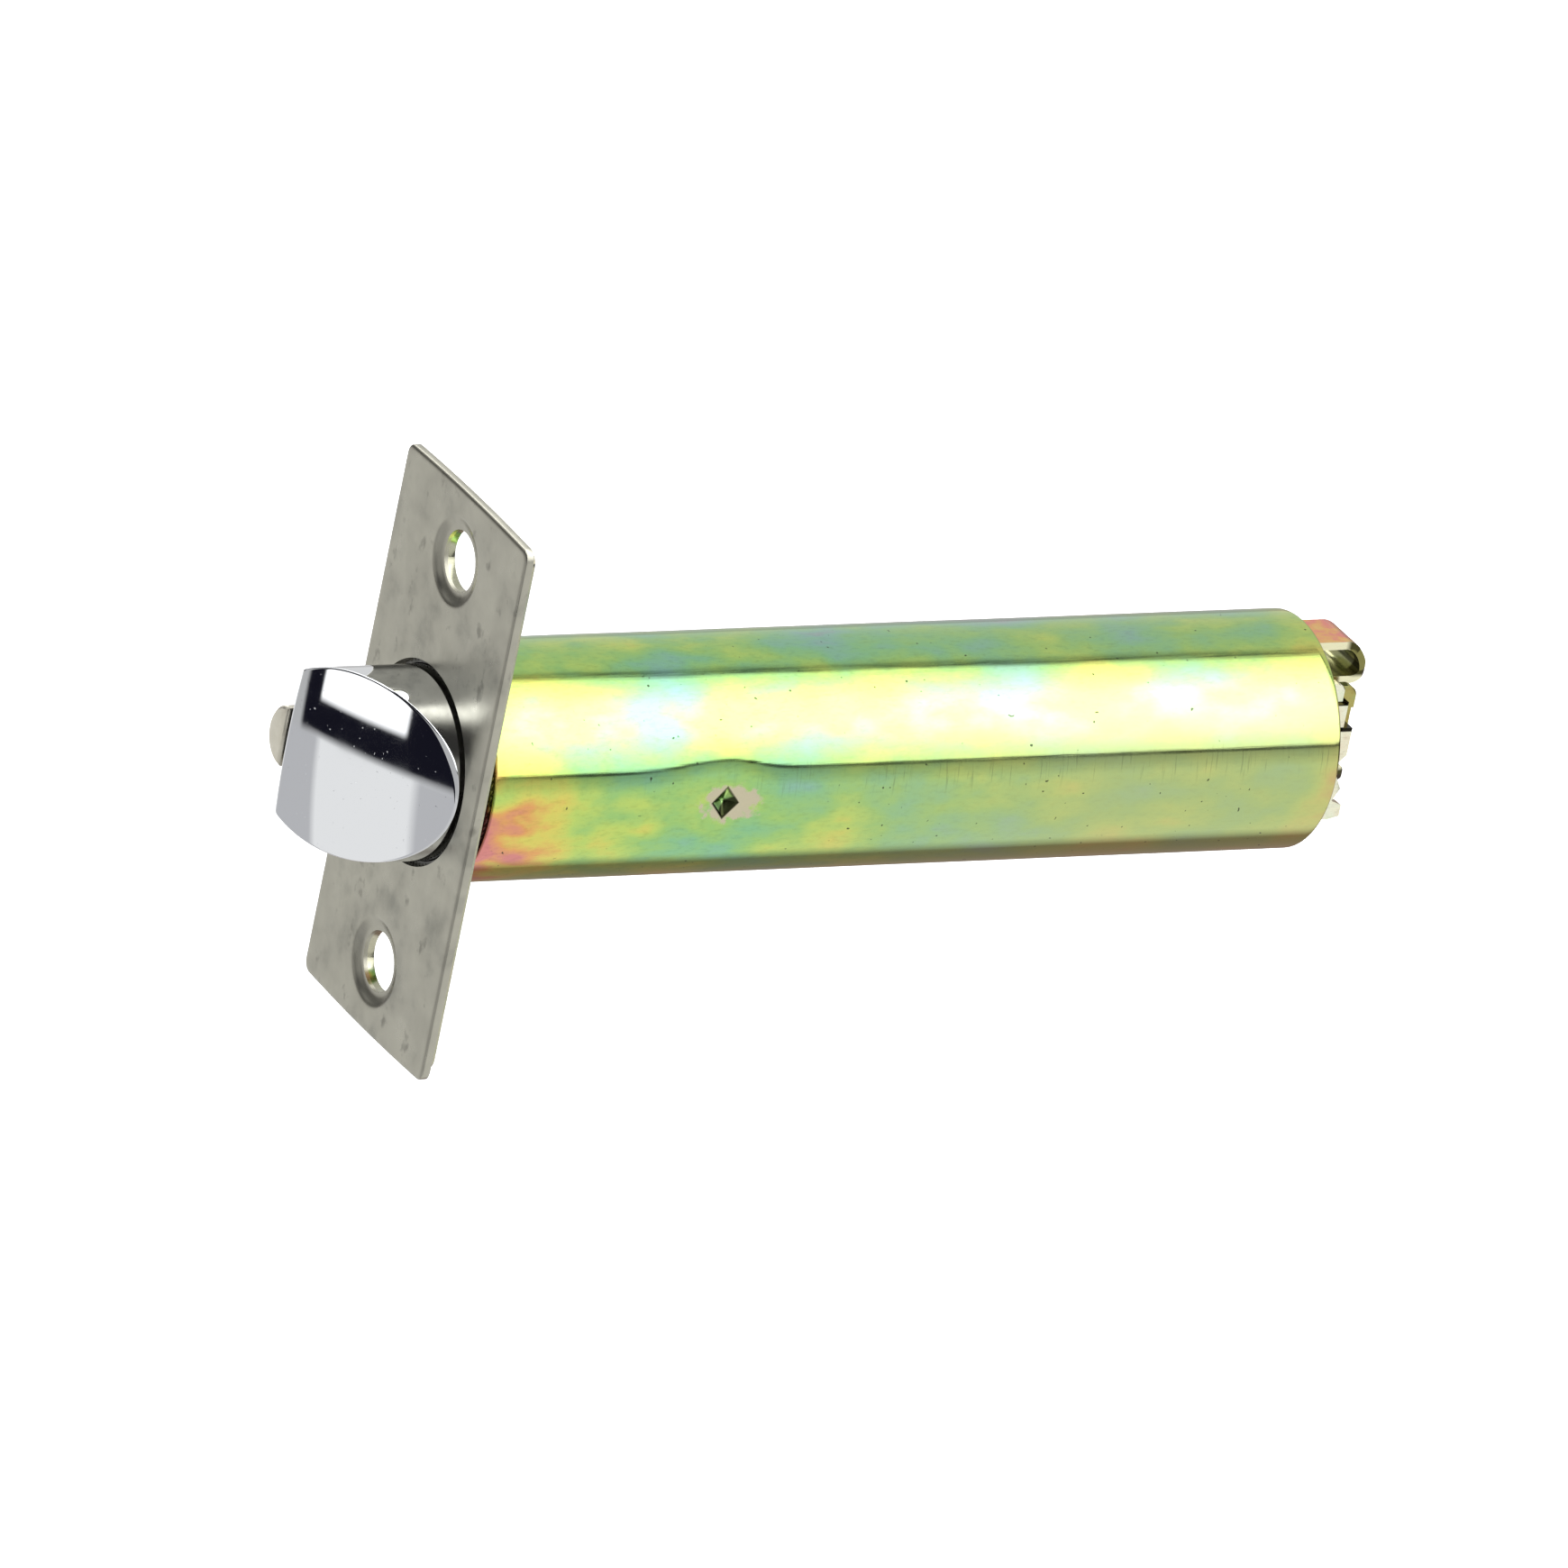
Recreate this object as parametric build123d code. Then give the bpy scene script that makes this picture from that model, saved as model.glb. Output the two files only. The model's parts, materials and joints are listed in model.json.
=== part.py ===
from build123d import *
import os
from math import sqrt

os.makedirs("parts", exist_ok=True)

# Deadlocking tubular latch for a cylindrical lockset, in millimetres.
# The origin is the middle of the faceplate's front. +X runs into the door, +Z runs up the faceplate.
# The bolt's bevel faces -Y, and the guard plunger is on the +Y side.

# Faceplate and backplate
plate_length = 57.15
plate_width = 25.4
plate_thickness = 0.9
plate_corner = 1.2
plate_end_bow = 0.3
plate_edge_round = 0.25
backplate_thickness = 0.8
backplate_inset = 0.85
screw_spacing = 42.9
screw_hole_radius = 3.0
screw_dimple_radius = 4.2
screw_dimple_depth = 0.45
backplate_hole_allowance = 0.25

# Latch bolt
bolt_throw = 11.2
bolt_body_depth = 14.0
bevel_end_x = -0.3
bevel_bulge = 0.45
nose_width = 1.1
nose_strip = 0.3
nose_round = 0.14
bolt_clearance = 0.1
spring_pocket_depth = 8.0
spring_pocket_wall = 0.93

# Guard plunger beside the bolt
plunger_radius = 3.1
plunger_gap = 0.6
plunger_inset = 0.03
plunger_body_depth = 17.0
plunger_clearance = 0.08
plunger_chamfer = 0.3
plunger_tongue_thickness = 0.8
plunger_tongue_length = 5.0
plunger_rivet_radius = 0.775
plunger_lug_length = 2.0
plunger_lug_reach = 1.3
plunger_bar_thickness = 1.0
plunger_bar_width = 4.8
plunger_bar_length = 22.0
plunger_bar_tab_height = 3.1
bar_clearance = 0.1

# Tube and bolt guide
tube_radius = 11.8
tube_wall = 1.2
tube_end_x = 97.0
rim_gap = 0.7
rim_gap_inset = 1.0
seat_clearance = 0.05
guide_wall = 0.92
guide_end_x = 31.0
guide_nose_end_x = 12.0
guide_web_thickness = 1.4
spigot_wall = 0.72
spigot_lap = 0.25
stake_x = 28.1
stake_size = 1.7
stake_depth = 0.9

# Deadlock blade on the guide's rear web
blade_thickness = 0.4
blade_width = 2.4
blade_side_gap = 0.4
blade_lift = 0.6
blade_hook_drop = 1.0
blade_rivet_radius = 0.5
blade_rivet_head_radius = 0.7
blade_rivet_head_height = 0.2
rivet_clearance = 0.02

# Drawbar and tail
drawbar_y = -2.3
drawbar_thickness = 1.2
drawbar_spring_gap = 0.95
drawbar_clearance = 0.15
lost_motion = 1.5
bolt_pin_x = 2.0
bolt_pin_radius = 1.5
bolt_pin_cover = 2.35
pin_slot_clearance = 0.05
drawbar_nose = 2.0
tail_head_start_x = 96.5
tail_head_length = 5.1
tail_top_z = 5.9
tail_step_z = 4.0
tail_step_reach = 0.75
tail_nose_z = 1.15
tail_nose_height = 3.0
tail_nose_reach = 1.8
tail_waist_z = -4.2
tail_waist_reach = 1.2
tail_bump = 0.7
tail_bump_half_height = 1.3
tail_hook_z = -7.3
tail_hook_height = 1.2
tail_hook_reach = 2.4
tail_bottom_z = -8.8
tail_bottom_width = 1.2
tail_heel_z = -5.0
tail_round = 0.7
tail_notch_height = 0.3
tail_notch_length = 1.4
tail_notch_inset = 0.1
tail_plate_thickness = 1.0
tail_rivet_radius = 0.9
tail_rivet_spacing = 4.4
claw_top_z = 5.15
claw_bottom_z = 2.8
claw_reach = 0.25
claw_round = 1.1
claw_tip_inset = 2.2
hook_plate_nose_z = -1.2
hook_plate_bottom_z = -3.4
hook_plate_slant = 1.0
drawbar_pin_radius = 1.0
drawbar_pin_reach = 2.0
drawbar_pin_seat_gap = 0.9
washer_rim = 0.65
washer_thickness = 1.0

# Springs
bolt_spring_wire = 0.55
bolt_spring_turns = 10
plunger_spring_radius = 1.55
plunger_spring_wire = 0.25
plunger_spring_turns = 11
return_spring_wire = 0.4
return_spring_turns = 6
coil_clearance = 0.45

# Spring seat, rear plug and prongs
seat_x = 58.0
seat_thickness = 1.5
seat_rim_length = 2.5
seat_rim_wall = 0.8
guide_rod_radius = 1.0
guide_rod_length = 11.0
plug_start_x = 84.0
plug_end_x = 95.0
prong_root_x = 86.0
prong_tip_x = 106.0
prong_floor_z = 4.3
prong_height = 3.8
prong_thickness = 0.8
prong_near_y = 0.6
prong_far_y = 7.3
prong_lip_y = 2.0
prong_far_round = 2.0
prong_near_round = 0.8
prong_lip_start_x = 97.4
prong_rivet_radius = 0.8
prong_rivet_x = 90.0

# Places that follow from the sizes above
backplate_rear_x = plate_thickness + backplate_thickness
rim_x = backplate_rear_x + rim_gap
tube_bore = tube_radius - tube_wall
fitted_radius = tube_bore - seat_clearance
guide_bore = fitted_radius - guide_wall
bolt_radius = guide_bore - bolt_clearance
spigot_radius = guide_bore + spigot_wall
plate_bolt_hole = spigot_radius - spigot_lap
plunger_flat_y = bolt_radius - plunger_inset - plunger_radius
bolt_flat_y = plunger_flat_y - plunger_gap
bevel_nose_y = bolt_flat_y - nose_width
bar_y = plunger_flat_y + plunger_tongue_thickness
bar_start_x = plunger_body_depth - plunger_tongue_length
bar_end_x = bar_start_x + plunger_bar_length
bolt_pocket_x = bolt_body_depth - spring_pocket_depth
pocket_radius = bolt_radius + drawbar_y - spring_pocket_wall
bolt_spring_radius = pocket_radius - coil_clearance - bolt_spring_wire
drawbar_half_height = bolt_spring_radius - bolt_spring_wire - drawbar_spring_gap
slot_half = drawbar_half_height + drawbar_clearance
return_spring_radius = drawbar_half_height + drawbar_spring_gap + return_spring_wire
washer_radius = return_spring_radius + return_spring_wire + washer_rim
tail_head_x = tail_head_start_x + tail_head_length
prong_top_z = prong_floor_z + prong_height
far = 2 * (plate_length + tube_end_x)


def block(x0, x1, y0, y1, z0, z1):
    """A box between two corners."""
    size = Box(x1 - x0, y1 - y0, z1 - z0)
    return Pos((x0 + x1) / 2, (y0 + y1) / 2, (z0 + z1) / 2) * size


def rod_x(x0, x1, radius, y=0.0, z=0.0):
    """A round bar along X."""
    return Pos((x0 + x1) / 2, y, z) * Rot(0, 90, 0) * Cylinder(radius, x1 - x0)


def rod_y(y0, y1, radius, x, z=0.0):
    """A round bar along Y."""
    return Pos(x, (y0 + y1) / 2, z) * Rot(90, 0, 0) * Cylinder(radius, y1 - y0)


def rod_z(z0, z1, radius, x, y):
    """A round bar along Z."""
    return Pos(x, y, (z0 + z1) / 2) * Cylinder(radius, z1 - z0)


def coil(x0, x1, mean_radius, wire, turns, y):
    """A compression spring along X whose ends rest at x0 and x1."""
    rise = x1 - x0 - 2 * wire
    start = (x0 + wire, y, 0)
    path = Helix(rise / turns, rise, mean_radius, center=start, direction=(1, 0, 0))
    section = Plane(origin=path @ 0, z_dir=path % 0) * Circle(wire)
    return sweep(section, path=path, is_frenet=True)


def plate_outline(length, width, bow, corner):
    """A plate's outline in the YZ plane: straight sides, slightly bowed ends, rounded corners."""
    half_y = width / 2
    half_z = length / 2
    sides = [
        Line((-half_y, -half_z + bow), (-half_y, half_z - bow)),
        ThreePointArc((-half_y, half_z - bow), (0, half_z), (half_y, half_z - bow)),
        Line((half_y, half_z - bow), (half_y, -half_z + bow)),
        ThreePointArc((half_y, -half_z + bow), (0, -half_z), (-half_y, -half_z + bow)),
    ]
    face = make_face(Wire(sides))
    return fillet(face.vertices(), corner)


def plate_solid(x0, x1, outline):
    """Extrudes an outline drawn in Y and Z from x0 to x1."""
    return extrude(Plane(origin=(x0, 0, 0), x_dir=(0, 1, 0), z_dir=(1, 0, 0)) * outline, x1 - x0)


def screw_places():
    """The heights of the two screw holes."""
    return [screw_spacing / 2, -screw_spacing / 2]


def make_faceplate():
    """Stainless faceplate with a round bolt hole and two dimpled screw holes."""
    outline = plate_outline(plate_length, plate_width, plate_end_bow, plate_corner)
    plate = plate_solid(0, plate_thickness, outline)
    front = plate.faces().sort_by(Axis.X)[0]
    plate = fillet(front.edges(), plate_edge_round)
    plate -= rod_x(-1, plate_thickness + 1, plate_bolt_hole)
    for z in screw_places():
        plate -= rod_x(-1, plate_thickness + 1, screw_hole_radius, z=z)
        dimple = Cone(screw_dimple_radius, screw_hole_radius, screw_dimple_depth)
        plate -= Pos(screw_dimple_depth / 2, 0, z) * Rot(0, 90, 0) * dimple
    return plate


def make_backplate():
    """Plated steel plate behind the faceplate, which the guide's spigot passes through."""
    length = plate_length - 2 * backplate_inset
    width = plate_width - 2 * backplate_inset
    outline = plate_outline(length, width, plate_end_bow, plate_corner)
    plate = plate_solid(plate_thickness, backplate_rear_x, outline)
    plate -= rod_x(0, backplate_rear_x + 1, spigot_radius + seat_clearance)
    for z in screw_places():
        radius = screw_hole_radius + backplate_hole_allowance
        plate -= rod_x(0, backplate_rear_x + 1, radius, z=z)
    return plate


def stake_pit(grow=0.0):
    """The square pyramid of the centre-punched stake on the tube's near side."""
    half = stake_size / 2 + grow
    depth = tube_wall + stake_depth
    top = Plane(origin=(stake_x, -tube_radius, 0), x_dir=(1, 0, 1), z_dir=(0, 1, 0))
    base = top * Rectangle(2 * half, 2 * half)
    tip = top.offset(depth) * Rectangle(0.2 * half, 0.2 * half)
    return loft([base, tip])


def make_case_tube():
    """Plated steel tube, staked inwards into the bolt guide."""
    tube = rod_x(rim_x, tube_end_x, tube_radius) - rod_x(rim_x - 1, tube_end_x + 1, tube_bore)
    outer_edges = tube.edges().filter_by(GeomType.CIRCLE).group_by(SortBy.RADIUS)[-1]
    tube = fillet(outer_edges, 0.25 * tube_wall)
    return tube - stake_pit()


def make_bolt_guide():
    """Die-cast guide: a spigot and flange in front, a D-shaped bore, and a web at the rear."""
    body = rod_x(rim_x, guide_end_x, fitted_radius)
    body += rod_x(backplate_rear_x, rim_x, tube_radius - rim_gap_inset)
    body += rod_x(plate_thickness, backplate_rear_x, spigot_radius)
    bore = rod_x(plate_thickness - 1, guide_end_x + 1, guide_bore)
    shelf_y = bolt_flat_y + bolt_clearance
    shelf = block(0, guide_nose_end_x, shelf_y, far, -far, far)
    channel_radius = plunger_radius + plunger_clearance
    channel = rod_x(0, guide_nose_end_x + 1, channel_radius, y=plunger_flat_y)
    web_x = guide_end_x - guide_web_thickness
    web = block(web_x, guide_end_x + 2, shelf_y, far, -far, far)
    bore = bore - (shelf - channel) - web
    body -= bore
    half = plunger_bar_width / 2 + bar_clearance
    bar_top = bar_y + plunger_bar_thickness + bar_clearance
    body -= block(web_x - 1, guide_end_x + 1, bar_y - bar_clearance, bar_top, -half, half)
    z0 = plunger_radius + blade_side_gap - bar_clearance
    z1 = plunger_radius + blade_side_gap + blade_width + bar_clearance
    blade_pocket = block(web_x - 1, guide_end_x + 1, blade_y(), far, z0, z1)
    body -= blade_pocket & rod_x(web_x - 1, guide_end_x + 1, guide_bore)
    body -= blade_rivet_hole()
    return body - stake_pit(seat_clearance)


def blade_y():
    """The height of the deadlock blade's underside above the tube's axis, along Y."""
    return plunger_flat_y + blade_lift


def blade_rivet_place():
    """The blade rivet's place along X and Z."""
    return guide_end_x - guide_web_thickness / 2, plunger_radius + blade_side_gap + blade_width / 2


def blade_rivet_hole():
    """The hole for the blade's rivet."""
    x, z = blade_rivet_place()
    return rod_y(bolt_flat_y, blade_y() + 1, blade_rivet_radius + rivet_clearance, x, z)


def make_deadlock_blade():
    """Spring-steel blade that the plunger's lug holds clear of the bolt's rear edge."""
    z0 = plunger_radius + blade_side_gap
    z1 = z0 + blade_width
    tip_x = bolt_body_depth + blade_side_gap
    blade = block(tip_x, guide_end_x, blade_y(), blade_y() + blade_thickness, z0, z1)
    hook_z = z0 + plunger_lug_reach - blade_side_gap + bar_clearance
    blade += block(tip_x, tip_x + blade_thickness, blade_y() - blade_hook_drop, blade_y(), hook_z, z1)
    return blade - blade_rivet_hole()


def make_blade_rivet():
    """Rivet that holds the blade down on the guide's web."""
    x, z = blade_rivet_place()
    shelf_y = bolt_flat_y + bolt_clearance
    head_y = blade_y() + blade_thickness
    shank = rod_y(shelf_y, head_y, blade_rivet_radius, x, z)
    return shank + rod_y(head_y, head_y + blade_rivet_head_height, blade_rivet_head_radius, x, z)


def bolt_profile():
    """The bolt from above: flat back, rounded nose and the slightly crowned bevel."""
    start = (bevel_end_x, -bolt_radius)
    nose = (-bolt_throw + nose_strip, bevel_nose_y)
    run_x = nose[0] - start[0]
    run_y = nose[1] - start[1]
    run = sqrt(run_x**2 + run_y**2)
    crown_x = (start[0] + nose[0]) / 2 - bevel_bulge * run_y / run
    crown_y = (start[1] + nose[1]) / 2 + bevel_bulge * run_x / run
    tip_y = (bevel_nose_y + bolt_flat_y) / 2
    edges = [
        ThreePointArc(start, (crown_x, crown_y), nose),
        Line(nose, (-bolt_throw, tip_y)),
        Line((-bolt_throw, tip_y), (-bolt_throw + nose_strip, bolt_flat_y)),
        Line((-bolt_throw + nose_strip, bolt_flat_y), (bolt_body_depth, bolt_flat_y)),
        Line((bolt_body_depth, bolt_flat_y), (bolt_body_depth, -bolt_radius)),
        Line((bolt_body_depth, -bolt_radius), start),
    ]
    face = make_face(Wire(edges))
    corners = [v for v in face.vertices() if v.X < nose[0] + 0.5 * nose_strip]
    return fillet(corners, nose_round)


def drawbar_slot_front():
    """Where the drawbar's nose ends inside the bolt."""
    return bolt_pin_x - bolt_pin_radius - lost_motion - pin_slot_clearance - drawbar_nose


def make_latch_bolt():
    """Die-cast D-section bolt with a bevel, a spring pocket and a slot for the drawbar."""
    bolt = extrude(bolt_profile(), bolt_radius, both=True)
    bolt &= rod_x(-bolt_throw - 1, bolt_body_depth, bolt_radius)
    bolt -= rod_x(bolt_pocket_x, bolt_body_depth + 1, pocket_radius, y=drawbar_y)
    half = drawbar_thickness / 2 + drawbar_clearance
    front = drawbar_slot_front() - drawbar_clearance
    bolt -= block(front, bolt_body_depth, drawbar_y - half, drawbar_y + half, -slot_half, slot_half)
    return bolt - bolt_pin(rivet_clearance)


def bolt_pin(grow=0.0):
    """The cross pin's body, from the bolt's flat back towards the bevel."""
    near_y = bolt_pin_cover - bolt_radius
    return rod_y(near_y - grow, bolt_flat_y, bolt_pin_radius + grow, bolt_pin_x)


def make_plunger():
    """Half-round guard plunger with a thin tongue for its bar and a side lug for the blade."""
    body = rod_x(-bolt_throw, plunger_body_depth, plunger_radius, y=plunger_flat_y)
    body -= block(-far, far, -far, plunger_flat_y, -far, far)
    front_edges = body.faces().sort_by(Axis.X)[0].edges()
    body = chamfer(front_edges, plunger_chamfer)
    body -= block(bar_start_x, far, bar_y, far, -far, far)
    lug_x = bolt_body_depth
    z1 = plunger_radius + plunger_lug_reach
    lug_top = blade_y() - bar_clearance
    tongue_half = sqrt(plunger_radius**2 - plunger_tongue_thickness**2)
    lug_y = min(lug_top, bar_y)
    body += block(lug_x, lug_x + plunger_lug_length, plunger_flat_y, lug_y, tongue_half, z1)
    return body - plunger_rivet(rivet_clearance)


def plunger_rivet(grow=0.0):
    """Rivet through the plunger's tongue and its bar."""
    x = (bar_start_x + plunger_body_depth) / 2
    top = bar_y + plunger_bar_thickness
    return rod_y(plunger_flat_y, top, plunger_rivet_radius + grow, x)


def make_plunger_bar():
    """Flat bar that carries the plunger's push back to its spring."""
    half = plunger_bar_width / 2
    top = bar_y + plunger_bar_thickness
    bar = block(bar_start_x, bar_end_x, bar_y, top, -half, half)
    tab_y = plunger_spring_y() - plunger_bar_tab_height / 2
    tab_x = bar_end_x - plunger_bar_thickness
    bar += block(tab_x, bar_end_x, tab_y, tab_y + plunger_bar_tab_height, -half, half)
    return bar - plunger_rivet(rivet_clearance)


def plunger_spring_y():
    """The plunger spring's axis lies on the middle of its bar."""
    return bar_y + plunger_bar_thickness / 2


def drawbar_hole(x0, x1):
    """The slot that the drawbar runs in."""
    half = drawbar_thickness / 2 + drawbar_clearance
    return block(x0, x1, drawbar_y - half, drawbar_y + half, -slot_half, slot_half)


def make_spring_seat():
    """Pressed cup in the tube that both forward springs push against."""
    seat = rod_x(seat_x, seat_x + seat_thickness + seat_rim_length, fitted_radius)
    cup_x = seat_x + seat_thickness
    seat -= rod_x(cup_x, cup_x + seat_rim_length + 1, fitted_radius - seat_rim_wall)
    seat -= drawbar_hole(seat_x - 1, cup_x + 1)
    return seat - guide_rod(rivet_clearance)


def guide_rod(grow=0.0):
    """Rod that keeps the plunger's spring straight, riveted into the seat."""
    start_x = seat_x - guide_rod_length
    return rod_x(start_x, seat_x + seat_thickness, guide_rod_radius + grow, y=plunger_spring_y())


def make_drawbar():
    """Flat steel drawbar with a lost-motion slot in front and the tail's head at the rear."""
    y0 = drawbar_y - drawbar_thickness / 2
    y1 = drawbar_y + drawbar_thickness / 2
    half = drawbar_half_height
    bar = block(drawbar_slot_front(), tail_head_start_x, y0, y1, -half, half)
    bar += tail_plate(y0, y1)
    slot_half_height = bolt_pin_radius + pin_slot_clearance
    slot_end = bolt_pin_x - lost_motion
    bar -= rod_y(y0 - 1, y1 + 1, slot_half_height, slot_end)
    bar -= block(slot_end, bolt_pin_x, y0 - 1, y1 + 1, -slot_half_height, slot_half_height)
    bar -= rod_y(y0 - 1, y1 + 1, slot_half_height, bolt_pin_x)
    bar -= tail_rivet_pair(rivet_clearance)
    return bar - drawbar_pin(rivet_clearance)


def tail_plate(y0, y1):
    """The stepped head that the lock's retractor pulls on, with a hook at its foot."""
    step_x = tail_head_x + tail_step_reach
    waist_x = tail_head_x + tail_waist_reach
    hook_x = tail_head_x + tail_hook_reach
    bump_z = tail_waist_z - tail_bump_half_height
    nose_foot_z = tail_nose_z - tail_nose_height
    foot_x = waist_x - tail_bottom_width
    points = [
        (tail_head_start_x, tail_top_z),
        (tail_head_x, tail_top_z),
        (tail_head_x, tail_step_z),
        (step_x, tail_step_z),
        (step_x, tail_nose_z),
        (tail_head_x + tail_nose_reach, tail_nose_z),
        (tail_head_x + tail_nose_reach, nose_foot_z),
        (step_x, nose_foot_z - (tail_nose_reach - tail_step_reach)),
        (waist_x, tail_waist_z),
        (waist_x + tail_bump, bump_z),
        (waist_x, bump_z - tail_bump_half_height),
        (hook_x, tail_hook_z),
        (hook_x, tail_hook_z - tail_hook_height),
        (waist_x, tail_bottom_z),
        (foot_x, tail_bottom_z),
        (foot_x, tail_hook_z),
        (tail_head_start_x, tail_heel_z),
    ]
    face = make_face(Polyline(points, close=True))
    corner = face.vertices().sort_by_distance((tail_head_x, tail_top_z, 0))[0]
    face = fillet(corner, tail_round)
    plane = Plane(origin=(0, y0, 0), x_dir=(1, 0, 0), z_dir=(0, -1, 0))
    plate = extrude(plane * face, -(y1 - y0))
    for z in (tail_step_z, tail_nose_z):
        x1 = step_x - tail_notch_inset
        plate -= block(x1 - tail_notch_length, x1, y0 - 1, y1 + 1, z - tail_notch_height, z)
    return plate


def tail_rivet_pair(grow=0.0):
    """Two rivets that join the drawbar's head to the hook plate behind it."""
    x = (tail_head_start_x + tail_head_x) / 2
    y0 = drawbar_y - drawbar_thickness / 2
    y1 = drawbar_y + drawbar_thickness / 2 + tail_plate_thickness
    pair = rod_y(y0, y1, tail_rivet_radius + grow, x, tail_rivet_spacing / 2)
    return pair + rod_y(y0, y1, tail_rivet_radius + grow, x, -tail_rivet_spacing / 2)


def make_tail_hook():
    """Second plate of the tail, whose rounded claw reaches past the first."""
    y0 = drawbar_y + drawbar_thickness / 2
    y1 = y0 + tail_plate_thickness
    claw_x = prong_tip_x - claw_tip_inset
    edge_x = claw_x - claw_reach
    points = [
        (tail_head_start_x, claw_top_z),
        (claw_x, claw_top_z),
        (claw_x, claw_bottom_z),
        (edge_x, claw_bottom_z),
        (edge_x, hook_plate_nose_z),
        (edge_x - hook_plate_slant, hook_plate_bottom_z),
        (tail_head_start_x, hook_plate_bottom_z),
    ]
    face = make_face(Polyline(points, close=True))
    corner = face.vertices().sort_by_distance((claw_x, claw_top_z, 0))[0]
    face = fillet(corner, claw_round)
    plane = Plane(origin=(0, y0, 0), x_dir=(1, 0, 0), z_dir=(0, -1, 0))
    return extrude(plane * face, -(y1 - y0)) - tail_rivet_pair(rivet_clearance)


def washer_x():
    """The return spring's washer stands just behind the drawbar's pin."""
    return seat_x + seat_thickness + 2 * drawbar_pin_radius + drawbar_pin_seat_gap


def drawbar_pin(grow=0.0):
    """Pin across the drawbar, which the washer bears on."""
    x = washer_x() - drawbar_pin_radius - rivet_clearance
    y0 = drawbar_y - drawbar_pin_reach
    y1 = drawbar_y + drawbar_pin_reach
    return rod_y(y0, y1, drawbar_pin_radius + grow, x)


def make_drawbar_washer():
    """Washer on the drawbar that takes the return spring."""
    washer = rod_x(washer_x(), washer_x() + washer_thickness, washer_radius, y=drawbar_y)
    half_y = drawbar_thickness / 2 + rivet_clearance
    half_z = drawbar_half_height + rivet_clearance
    return washer - block(0, far, drawbar_y - half_y, drawbar_y + half_y, -half_z, half_z)


def prong_slot(side):
    """The slot in the plug that a prong's root sits in."""
    z0 = prong_floor_z - seat_clearance
    z1 = prong_floor_z + prong_thickness + seat_clearance
    slot = block(prong_root_x - seat_clearance, plug_end_x + 1, prong_near_y, prong_far_y, z0, z1)
    return slot if side > 0 else mirror(slot, about=Plane.XY)


def prong_rivet(side, grow=0.0):
    """Rivet through the plug and one prong's root."""
    y = (prong_near_y + prong_far_y) / 2
    inner = prong_floor_z - prong_thickness
    rivet = rod_z(inner, prong_top_z, prong_rivet_radius + grow, prong_rivet_x, y)
    return rivet if side > 0 else mirror(rivet, about=Plane.XY)


def make_rear_plug():
    """Die-cast plug in the tube's rear end, slotted for the drawbar and both prongs."""
    plug = rod_x(plug_start_x, plug_end_x, fitted_radius)
    plug -= drawbar_hole(plug_start_x - 1, plug_end_x + 1)
    for side in (1, -1):
        plug -= prong_slot(side)
        plug -= prong_rivet(side, rivet_clearance)
    return plug


def make_prong(side):
    """Sheet prong folded back over itself into a hook, for the lock's frame."""
    outer = prong_height / 2
    inner = outer - prong_thickness
    bend_x = prong_tip_x - outer
    middle_z = prong_floor_z + outer
    root = (prong_root_x, prong_floor_z)
    edges = [
        Line(root, (bend_x, prong_floor_z)),
        ThreePointArc((bend_x, middle_z - outer), (prong_tip_x, middle_z), (bend_x, middle_z + outer)),
        Line((bend_x, middle_z + outer), (prong_lip_start_x, middle_z + outer)),
        Line((prong_lip_start_x, middle_z + outer), (prong_lip_start_x, middle_z + inner)),
        Line((prong_lip_start_x, middle_z + inner), (bend_x, middle_z + inner)),
        ThreePointArc((bend_x, middle_z + inner), (bend_x + inner, middle_z), (bend_x, middle_z - inner)),
        Line((bend_x, middle_z - inner), (prong_root_x, middle_z - inner)),
        Line((prong_root_x, middle_z - inner), root),
    ]
    plane = Plane(origin=(0, prong_near_y, 0), x_dir=(1, 0, 0), z_dir=(0, -1, 0))
    strip = extrude(plane * make_face(Wire(edges)), -(prong_far_y - prong_near_y))
    plan = make_face(Polyline(
        (prong_root_x, prong_near_y), (prong_tip_x, prong_near_y),
        (prong_tip_x, prong_far_y), (prong_root_x, prong_far_y), close=True))
    tip_corners = plan.vertices().group_by(Axis.X)[-1].sort_by(Axis.Y)
    plan = fillet(tip_corners[1], prong_far_round)
    plan = fillet(plan.vertices().sort_by_distance((prong_tip_x, prong_near_y, 0))[0], prong_near_round)
    strip &= extrude(plan, middle_z + 2 * outer)
    slant = make_face(Polyline(
        (prong_near_y - 1, middle_z - 0.5 * inner), (prong_near_y, middle_z - 0.5 * inner),
        (prong_lip_y, middle_z + inner), (prong_lip_y, middle_z + 2 * outer),
        (prong_near_y - 1, middle_z + 2 * outer), close=True))
    strip -= plate_solid(prong_root_x - 1, prong_tip_x + 1, slant)
    strip -= prong_rivet(1, rivet_clearance)
    return strip if side > 0 else mirror(strip, about=Plane.XY)


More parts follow.
